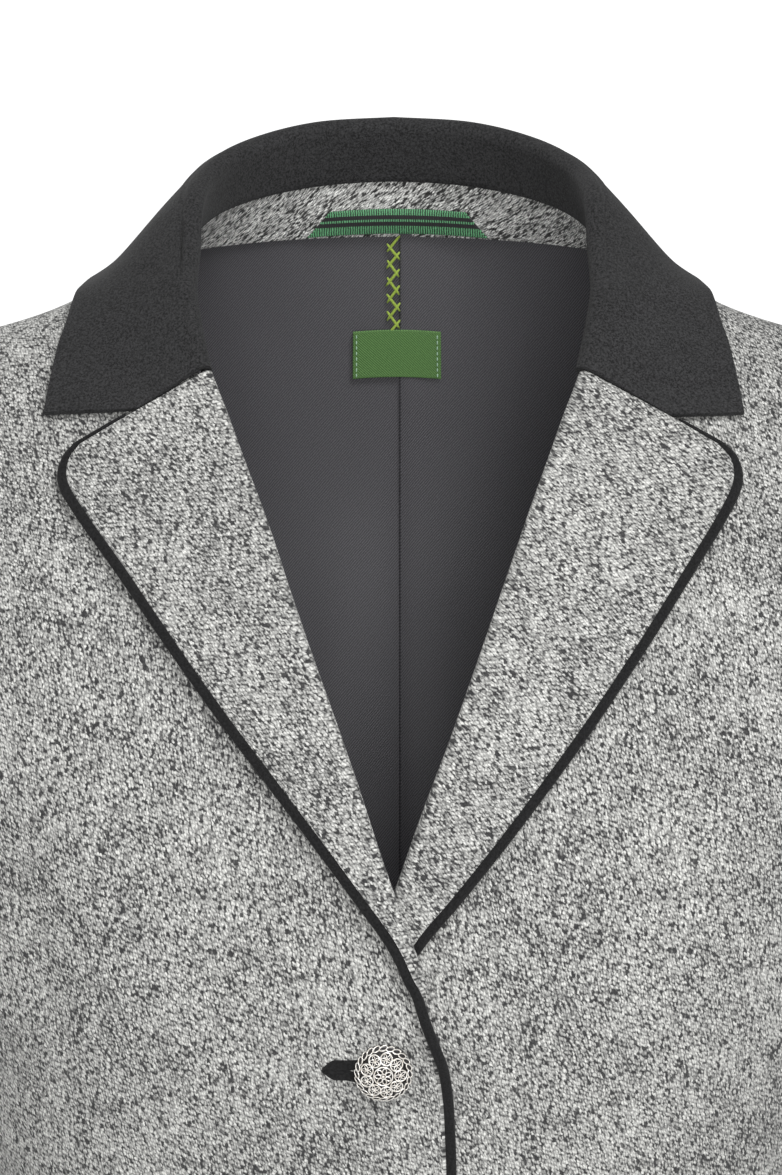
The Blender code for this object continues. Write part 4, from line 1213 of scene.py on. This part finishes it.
# %% Top and under sleeves
def unroll(grid):
    """UV of a tube-like grid: round it from its middle column, and up each column from the cuff."""
    across = np.cumsum(np.linalg.norm(np.diff(grid, axis=1, prepend=grid[:, :1]), axis=2), axis=1)
    up = np.cumsum(np.linalg.norm(np.diff(grid[::-1], axis=0, prepend=grid[-1:]), axis=2), axis=0)[::-1]
    return np.stack((across - across[:, grid.shape[1] // 2, None], up), axis=-1)


sleeves = {}
for side, name in SIDES:
    outer, inner = sleeve_surfaces(side)
    whole = 2 * ARMHOLE_STEPS * RING_STEPS
    for part, first, last in (
        ("top", ARMHOLE_STEPS - BACK_SEAM, ARMHOLE_STEPS + FRONT_SEAM),
        ("under", ARMHOLE_STEPS + FRONT_SEAM, 3 * ARMHOLE_STEPS - BACK_SEAM),
    ):
        ring = np.arange(first * RING_STEPS, last * RING_STEPS + 1) % whole
        grids = [trim(np.swapaxes(surface[ring], 0, 1), SEAM, SEAM) for surface in (outer, inner)]
        sleeves[side, part] = shell(f"loden_{part}_sleeve_{name}", *grids, unroll(grids[0]), (loden, lining))
        print(sleeves[side, part].name, len(sleeves[side, part].data.polygons), "faces")

# %% [markdown]
# ## Inside the back
# Below the collar a facing of the same loden covers the seam, and from it the lining hangs
# down the back. The lining has a pleat at its centre for ease, so its left half laps over the
# right one and leaves one soft upright line.

# %% Facing
FACING_FOOT = 2.5 * MM
FACING_TOP, FACING_LEAST = 0.01, 0.25
FACING_ANGLE = math.radians(104)
FACING_DEPTH, FACING_THICK = 4.2 * MM, 1.4 * MM
FACING_ROWS, FACING_COLUMNS = 14, 130
FACING_HALVINGS = 30


def facing_foot(angle):
    """The level of the facing's lower edge at angles from the centre back."""
    low, high = (np.full(np.shape(angle), NECK + more) for more in (0.0, 1.0))
    for _ in range(FACING_HALVINGS):
        middle = (low + high) / 2
        above = form_point(math.pi - angle, middle)[..., 2] > FACING_FOOT
        low, high = np.where(above, middle, low), np.where(above, high, middle)
    return np.maximum(low, NECK + FACING_LEAST)


turns = FACING_ANGLE * np.linspace(-1, 1, FACING_COLUMNS + 1)
foot = facing_foot(np.abs(turns))
levels = NECK + FACING_TOP + (foot - NECK - FACING_TOP) * np.linspace(0, 1, FACING_ROWS)[:, None]


def facing_grid(depth):
    """Points of the facing, from the right end round the back of the neck to the left end."""
    right, left = (back_point(side, np.abs(turns), levels, depth) for side, _ in SIDES)
    return np.where((turns < 0)[None, :, None], right, left)


outer, inner = facing_grid(FACING_DEPTH), facing_grid(FACING_DEPTH + FACING_THICK)
# The facing takes the paler copy of the loden: painted light for the shade inside the neck.
facing = shell("loden_neck_facing", outer, inner, grain(outer), (loden_facing,), roll=0.8)
centre = FACING_COLUMNS // 2
print(facing.name, "deep at the centre", round(np.linalg.norm(outer[0, centre] - outer[-1, centre]), 4), "m")

# %% Back lining
LINING_DEPTH, LINING_THICK = 3.1 * MM, 0.8 * MM
LINING_FOOT, LINING_UNDER = 8.65, 0.12
LINING_ROWS, LINING_COLUMNS = 110, 44
# Rings the lining spans, the ring where the armhole starts on it, and armhole steps to a ring
LINING_RINGS, ARMHOLE_FROM, STEPS_A_RING = 7.3, 1.4, 1.9
PLEAT_X = 2.4 * MM
PLEAT_LIFT, PLEAT_FADE = 1.8 * MM, (4 * MM, 26 * MM)
LINING_CREASES = (
    (-46, -50, -62, -330, 17, -1.6),
    (58, -70, 44, -300, 15, -1.4),
    (-98, -110, -84, -330, 18, -1.5),
    (104, -90, 88, -320, 17, -1.7),
    (20, -90, 14, -260, 9, 0.9),
    (-18, -120, -22, -340, 11, 0.8),
)


def lining_grid(side, depth):
    """Rows of one half of the lining, from below the facing to just above the hem."""
    angles = np.linspace(0, math.pi / 2, LINING_COLUMNS + 1)
    top = facing_foot(angles) - LINING_UNDER
    share = np.linspace(0, 1, LINING_ROWS)[:, None]
    steps = (share * LINING_RINGS - ARMHOLE_FROM) * STEPS_A_RING
    notch = armhole_angle(np.clip(steps, 0, ARMHOLE_STEPS), ARMHOLE_BACK)
    points = back_point(side, angles * (1 - notch / (math.pi / 2)), top + (LINING_FOOT - top) * share, 0.0)
    x, z = points[..., 0], points[..., 2]
    inward = depth - crease_depth(LINING_CREASES, x, z)
    if side == LEFT:
        inward = inward + PLEAT_LIFT * (1 - ease(x, *PLEAT_FADE))
    points = points - outward_normals(points) * np.maximum(inward, depth)[..., None]
    return trim(points, side * (PLEAT_X - side * SEAM), SEAM)


depths = (LINING_DEPTH, LINING_DEPTH + LINING_THICK)
linings = cut_pair("lining_back_half_", lining_grid, depths, (lining,))

# %% [markdown]
# ## Ribbon, stitches and label
# Three small green things sit inside the neck: a striped ribbon to hang the jacket by, a line
# of herringbone stitch in lime thread that holds the lining's pleat, and a woven label. The
# label is left bare. Thread is modelled stitch by stitch, because at this size a drawn line
# would look flat.

# %% Hanger ribbon and label
LOOP_X, LOOP_TOP, LOOP_BOTTOM = 1.5 * MM, 13.4 * MM, 3.8 * MM
LOOP_TOP_WIDTH, LOOP_BOTTOM_WIDTH = 53 * MM, 70 * MM
LOOP_DEPTH, LOOP_THICK = 6.3 * MM, 0.8 * MM
LOOP_ARCH, LOOP_SLACK = 0.9 * MM, 1.6 * MM
LABEL_WIDTH, LABEL_HEIGHT = 33.2 * MM, 18.2 * MM
LABEL_X, LABEL_Z = 1.2 * MM, -42.5 * MM
LABEL_DEPTH, LABEL_THICK = 5.6 * MM, 0.7 * MM
LABEL_ARCH = 0.7 * MM


def patch(name, corners, depths, counts, arch, slack, material):
    """A small piece sewn inside the back, between its (x, z) corners.

    Its middle stands up by arch and away from the back by slack. Its UV runs along it from the
    left, and down from its top edge, in metres.
    """
    (left_top, right_top), (left_foot, right_foot) = (np.array(pair) for pair in corners)
    places, uv = [], []
    for down in np.linspace(0, 1, counts[0]):
        start, end = left_top + (left_foot - left_top) * down, right_top + (right_foot - right_top) * down
        for along in np.linspace(0, 1, counts[1]):
            bow = 4 * along * (1 - along)
            x, z = start + (end - start) * along
            places.append((x, z + arch * bow, slack * bow * math.sin(math.pi * (0.15 + 0.7 * down))))
            uv.append((x, (left_top[1] - left_foot[1]) * down))
    outer, inner = ([on_back(x, z, depth + lower) for x, z, lower in places] for depth in depths)
    outer, inner, uv = (np.array(points).reshape(*counts, -1) for points in (outer, inner, uv))
    return shell(name, outer, inner, uv, (material,))


corners = [[(LOOP_X + way * width / 2, z) for way in (-1, 1)]
           for width, z in ((LOOP_TOP_WIDTH, LOOP_TOP), (LOOP_BOTTOM_WIDTH, LOOP_BOTTOM))]
depths = (LOOP_DEPTH, LOOP_DEPTH + LOOP_THICK)
loop = patch("hanger_ribbon", corners, depths, (14, 90), LOOP_ARCH, LOOP_SLACK, ribbon)

corners = [[(LABEL_X + way * LABEL_WIDTH / 2, z) for way in (-1, 1)]
           for z in (LABEL_Z + LABEL_HEIGHT / 2, LABEL_Z - LABEL_HEIGHT / 2)]
depths = (LABEL_DEPTH, LABEL_DEPTH + LABEL_THICK)
label = patch("woven_label", corners, depths, (24, 44), LABEL_ARCH, 0.0, label_weave)
print("ribbon and label:", len(loop.data.polygons), len(label.data.polygons), "faces")


# %% Threads
STITCH_POINTS = 8


def stitch(start, end, thread, bow=0.35):
    """One visible stitch: a short thread that dips into the cloth at both ends."""
    normal = np.array((0.0, -1.0, 0.0))
    t = np.linspace(0, 1, STITCH_POINTS)[:, None]
    path = start + (end - start) * t + normal * thread * bow * np.sin(math.pi * t)
    taper = 0.55 + 0.45 * np.sin(math.pi * t[:, 0]) ** 0.4
    return tube(path, np.broadcast_to(normal, path.shape), thread * taper, thread * 0.9 * taper, sides=8)


STITCH_LEFT, STITCH_RIGHT = -2.6 * MM, 2.2 * MM
STITCH_TOP, STITCH_FOOT = 2.0 * MM, -34.0 * MM
STITCH_STEP, STITCH_CROSS = 3.25 * MM, 3.2 * MM
STITCH_THREAD, STITCH_DEPTH = 1.1 * MM, 5.4 * MM
STITCH_UNEVEN = 0.16 * MM

threads = []
z, way = STITCH_FOOT, 0
sides_x = (STITCH_LEFT, STITCH_RIGHT)
uneven = np.random.default_rng(11)
while z < STITCH_TOP - STITCH_STEP / 2:
    shift = uneven.normal(0, STITCH_UNEVEN, 4)
    low = on_back(sides_x[way] + shift[0], z - STITCH_CROSS / 2 + shift[1], STITCH_DEPTH)
    high = on_back(sides_x[1 - way] + shift[2], z + STITCH_STEP + STITCH_CROSS / 2 + shift[3], STITCH_DEPTH)
    threads.append(stitch(low, high, STITCH_THREAD))
    z, way = z + STITCH_STEP, 1 - way
herringbone = add_mesh("herringbone_stitch", *join(threads), (lime_thread,))
print("herringbone:", len(threads), "stitches")

SIDE_THREAD, SIDE_STEP, SIDE_LENGTH, SIDE_IN = 0.5 * MM, 2.1 * MM, 1.3 * MM, 1.4 * MM
SIDE_DEPTH = LABEL_DEPTH + LABEL_THICK + 0.1 * MM
threads = []
for way in (-1, 1):
    x = LABEL_X + way * (LABEL_WIDTH / 2 - SIDE_IN)
    for z in np.arange(LABEL_Z - 8.2 * MM, LABEL_Z + 7.6 * MM, SIDE_STEP):
        ends = (on_back(x, height, SIDE_DEPTH) for height in (z, z + SIDE_LENGTH))
        threads.append(stitch(*ends, SIDE_THREAD, 0.2))
label_stitches = add_mesh("label_stitches", *join(threads), (pale_thread,))
print("label:", len(threads), "stitches")

# %% [markdown]
# ## Bound buttonholes
# Each hole is bound with two felt lips. They meet in a point at one end, lap over each other a
# little where the slit is closed, and part where the button's shank comes through.

# %% Buttonhole lips
BUTTON_X = -3.6 * MM
BUTTON_ZS = (-267 * MM, -357 * MM, -447 * MM)
HOLE_LEFT, HOLE_RIGHT = -24.7 * MM, -0.4 * MM
LIP_HEIGHT, LIP_SWELL = 3.9 * MM, 0.55 * MM
LIP_PARTING, PARTING_FROM = 1.75 * MM, (-18 * MM, -7 * MM)
LIP_OVERLAP, OVERLAP_FROM = 0.35 * MM, (9 * MM, 16 * MM)
POINT_FROM = (HOLE_LEFT - 1 * MM, HOLE_LEFT + 4.5 * MM)
LIP_ROWS, LIP_COLUMNS = 9, 36
LIP_TOP, LIP_UNDER = 0.25 * MM, -1.2 * MM


def lip_grid(z, way, height):
    """Points of one lip, from the slit outwards; way is 1 above the slit and -1 below it."""
    grid = []
    for across in np.linspace(0, 1, LIP_ROWS):
        for x in np.linspace(HOLE_LEFT, HOLE_RIGHT, LIP_COLUMNS):
            parting = LIP_PARTING * float(ease(x, *PARTING_FROM))
            parting -= LIP_OVERLAP * float(ease(-x, *OVERLAP_FROM))
            point_end = float(ease(x, *POINT_FROM))
            outer = (LIP_HEIGHT + parting * (0.9 if way < 0 else 0.2)) * (0.15 + 0.85 * point_end)
            offset = parting * point_end + (outer - parting * point_end) * across
            swell = LIP_SWELL * math.sin(math.pi * across) ** 0.6
            grid.append(on_front(RIGHT, -x, z + way * offset, height + swell * (height > 0))[0])
    return np.array(grid).reshape(LIP_ROWS, LIP_COLUMNS, 3)


lips = []
for index, z in enumerate(BUTTON_ZS, start=1):
    for way, part in ((1, "upper"), (-1, "lower")):
        outer, inner = (lip_grid(z, way, height) for height in (LIP_TOP, LIP_UNDER))
        lips.append(shell(f"felt_lip_{index}_{part}", outer, inner, grain(outer), (felt_trim,), roll=0.8))
print("lips:", len(lips))

# %% [markdown]
# ## Buttons
# Each button is a low dome of dark ground under a net of silver wire: a rim of slanting ovals,
# and nine circles with a five-petalled rosette in each round a larger one in the middle. The
# wire net is drawn flat by small functions and then lifted onto the dome.

# %% Button drawing
BUTTON_STAND = 1.2 * MM
DOME_RISE, DOME_REACH = 5.2 * MM, 10.25 * MM
GROUND_DROP = 1.2 * MM
SHANK_RADIUS, SHANK_LENGTH = 1.5 * MM, 2.2 * MM
WIRE_SIDES, BEAD_SIDES, BODY_SIDES = 6, 8, 64


def dome(radius):
    """Height of the button's dome at a distance from its middle."""
    return DOME_RISE * math.sqrt(max(0.0, 1 - (radius / DOME_REACH) ** 2))


def oval(x, y, radius_x, radius_y, turn, steps):
    """A closed oval in the plane of the button, as (x, y) points in millimetres."""
    t = math.tau * np.arange(steps) / steps
    flat_x, flat_y = radius_x * np.cos(t), radius_y * np.sin(t)
    return np.stack((x + flat_x * math.cos(turn) - flat_y * math.sin(turn),
                     y + flat_x * math.sin(turn) + flat_y * math.cos(turn)), axis=1)


def wire(line, width, height):
    """A closed wire along (x, y) points in millimetres, laid on the dome."""
    line = np.asarray(line) * MM
    path = np.array([(x, y, dome(math.hypot(x, y)) + height * MM) for x, y in line])
    normals = np.array([(x, y, DOME_REACH**2 / DOME_RISE) for x, y in line])
    return tube(path, normals, width * MM, width * MM, WIRE_SIDES, closed=True)


def ring_of(count, radius, start=0.0):
    """Centres (x, y, turn) of a ring of small shapes, in millimetres."""
    turns = [math.tau * (k + start) / count for k in range(count)]
    return [(radius * math.cos(turn), radius * math.sin(turn), turn) for turn in turns]


def bead(x, y, radius, rise):
    """A small ball on the dome."""
    x, y, radius = x * MM, y * MM, radius * MM
    middle = dome(math.hypot(x, y)) + rise * MM
    path = [(x, y, middle + radius * level) for level in (-0.98, -0.7, 0, 0.7, 0.98)]
    widths = [2 * radius * share for share in (0.2, 0.71, 1.0, 0.71, 0.2)]
    return tube(path, np.broadcast_to((1.0, 0.0, 0.0), (5, 3)), widths, widths, BEAD_SIDES)


def filigree():
    """All wires and beads of one button, facing up."""
    parts = []
    for x, y, turn in ring_of(24, 9.12):
        parts.append(wire(oval(x, y, 0.66, 1.40, turn + 0.3, 16), 0.48, -0.1))
    for x, y, turn in ring_of(9, 5.95, 0.5):
        parts.append(wire(oval(x, y, 2.08, 1.98, turn, 26), 0.52, 0.1))
        for petal_x, petal_y, way in ring_of(5, 1.05):
            parts.append(wire(oval(x + petal_x, y + petal_y, 0.66, 0.42, way, 12), 0.27, 0.15))
        parts.append(bead(x, y, 0.34, 0.3))
    parts.append(wire(oval(0, 0, 3.25, 3.25, 0.0, 40), 0.50, 0.2))
    for x, y, turn in ring_of(7, 1.85):
        parts.append(wire(oval(x, y, 1.02, 0.66, turn, 16), 0.36, 0.25))
    parts.append(bead(0, 0, 0.62, 0.4))
    return join(parts)


def turned_body(profile, sides):
    """A turned solid from (radius, height) pairs, bottom to top; its ends lie on the axis."""
    turn = math.tau * np.arange(sides) / sides
    points = [(0.0, 0.0, profile[0][1])]
    for radius, height in profile:
        points += [(radius * math.cos(t), radius * math.sin(t), height) for t in turn]
    points.append((0.0, 0.0, profile[-1][1]))
    faces = []
    for k in range(sides):
        following = (k + 1) % sides
        faces.append((0, 1 + following, 1 + k))
        for ring in range(len(profile) - 1):
            a = 1 + ring * sides
            faces.append((a + k, a + following, a + sides + following, a + sides + k))
        top = 1 + (len(profile) - 1) * sides
        faces.append((top + k, top + following, len(points) - 1))
    points = np.array(points)
    return points, faces, points[:, :2]


# %% Buttons
def button_body():
    """The dark ground of a button with its shank behind it."""
    profile = [(SHANK_RADIUS, -BUTTON_STAND - SHANK_LENGTH), (SHANK_RADIUS, -0.9 * MM)]
    profile += [(9.0 * MM, -0.5 * MM), (9.75 * MM, 0.0 * MM)]
    for radius in (9.8, 9.3, 8.9, 8.4, 7.5, 6.0, 4.5, 3.0, 1.5, 0.4):
        profile.append((radius * MM, dome(radius * MM) - GROUND_DROP * float(ease(-radius, -9.9, -8.4))))
    return turned_body(profile, BODY_SIDES)


buttons = []
net, ground = filigree(), button_body()
for index, z in enumerate(BUTTON_ZS, start=1):
    place, normal = on_front(RIGHT, -BUTTON_X, z, BUTTON_STAND)
    face = Vector(normal).to_track_quat("Z", "Y").to_matrix()
    turn = np.array(face) @ np.array(Vector((0, 0, 1)).to_track_quat("Z", "Y").to_matrix())
    points, faces, uvs = join((ground, net))
    slots = [0] * len(ground[1]) + [1] * len(net[1])
    parts = (points @ turn.T + place, faces, uvs, (silver_ground, silver_wire), slots)
    buttons.append(add_mesh(f"silver_button_{index}", *parts))
print("buttons:", len(buttons), "faces each:", len(buttons[0].data.polygons))

# %% [markdown]
# ## Floor
# A wide pale floor under the hem, so the picture's ground is white right up to the cloth.

# %% Floor
floor_material, tree, shader = new_material("floor", 0.9)
shade = noise(tree, in_mm(tree, flat=False), 0.0005, 2.0).outputs[0]
tint = between(tree, shade, 0.0, 1.0, 0.93, 0.95)
tree.links.new(tint, shader.inputs["Base Color"])
shader.inputs["Emission Color"].default_value = (1, 1, 1, 1)
seen = tree.nodes.new("ShaderNodeLightPath").outputs["Is Camera Ray"]
tree.links.new(scaled(tree, seen, 0.6, 0.1), shader.inputs["Emission Strength"])

FLOOR_Z, FLOOR_HALF = -1.3, 30.0
corners = ((-1, -1), (1, -1), (1, 1), (-1, 1))
corners = np.array([(x * FLOOR_HALF, y * FLOOR_HALF, FLOOR_Z) for x, y in corners])
floor = add_mesh("floor", corners, [(0, 1, 2, 3)], corners[:, :2], (floor_material,))
print("floor at", FLOOR_Z, "m")

# %% [markdown]
# ## What each piece is
# Each piece's size on its grain map and the area of its cloth are printed. Each piece is listed
# with the CAD part it stands for, under the name of its colour; those CAD parts are hidden, and
# every piece hangs from the root body.

# %% Cloth sizes
def report(piece):
    """Prints a piece's size on its grain map, and its area: half of the closed mesh's surface."""
    mesh = piece.data
    flat = np.empty(len(mesh.loops) * 2, np.float32)
    mesh.uv_layers[0].data.foreach_get("uv", flat)
    width, length = np.ptp(flat.reshape(-1, 2), axis=0)
    area, faces = sum(face.area for face in mesh.polygons) / 2, len(mesh.polygons)
    print(f"{piece.name:26s} {width:.3f} x {length:.3f} m, {area:.5f} m2 of cloth, {faces} faces")


pieces = [*fronts.values(), *backs.values(), *sleeves.values(), *lapels.values(), *linings.values()]
pieces += [collar, facing, loop, label, herringbone, label_stitches, *pipings.values(), *lips, *buttons]
for piece in pieces:
    report(piece)
print("pieces:", len(pieces))

# %% Ties to the frame
CAD_NODES = {
    "tweed": [(piece, piece.name[len("loden_"):]) for piece in pieces if piece.name.startswith("loden_")],
    "felt": [(collar, "collar"), (pipings[RIGHT], "piping_right"), (pipings[LEFT], "piping_left")],
    "lining": [(linings[RIGHT], "lining_back_right"), (linings[LEFT], "lining_back_left")],
    "green_weave": [(loop, "hanger_loop"), (label, "label")],
    "silver": [(button, f"button_{index}") for index, button in enumerate(buttons, start=1)],
}
CAD_NODES["felt"] += [(lip, lip.name.replace("felt_lip", "buttonhole")) for lip in lips]
for slot, ties in CAD_NODES.items():
    for piece, node in ties:
        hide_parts(node)
for piece in pieces:
    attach(piece, "root")
print("tied to", sum(len(ties) for ties in CAD_NODES.values()), "CAD nodes")
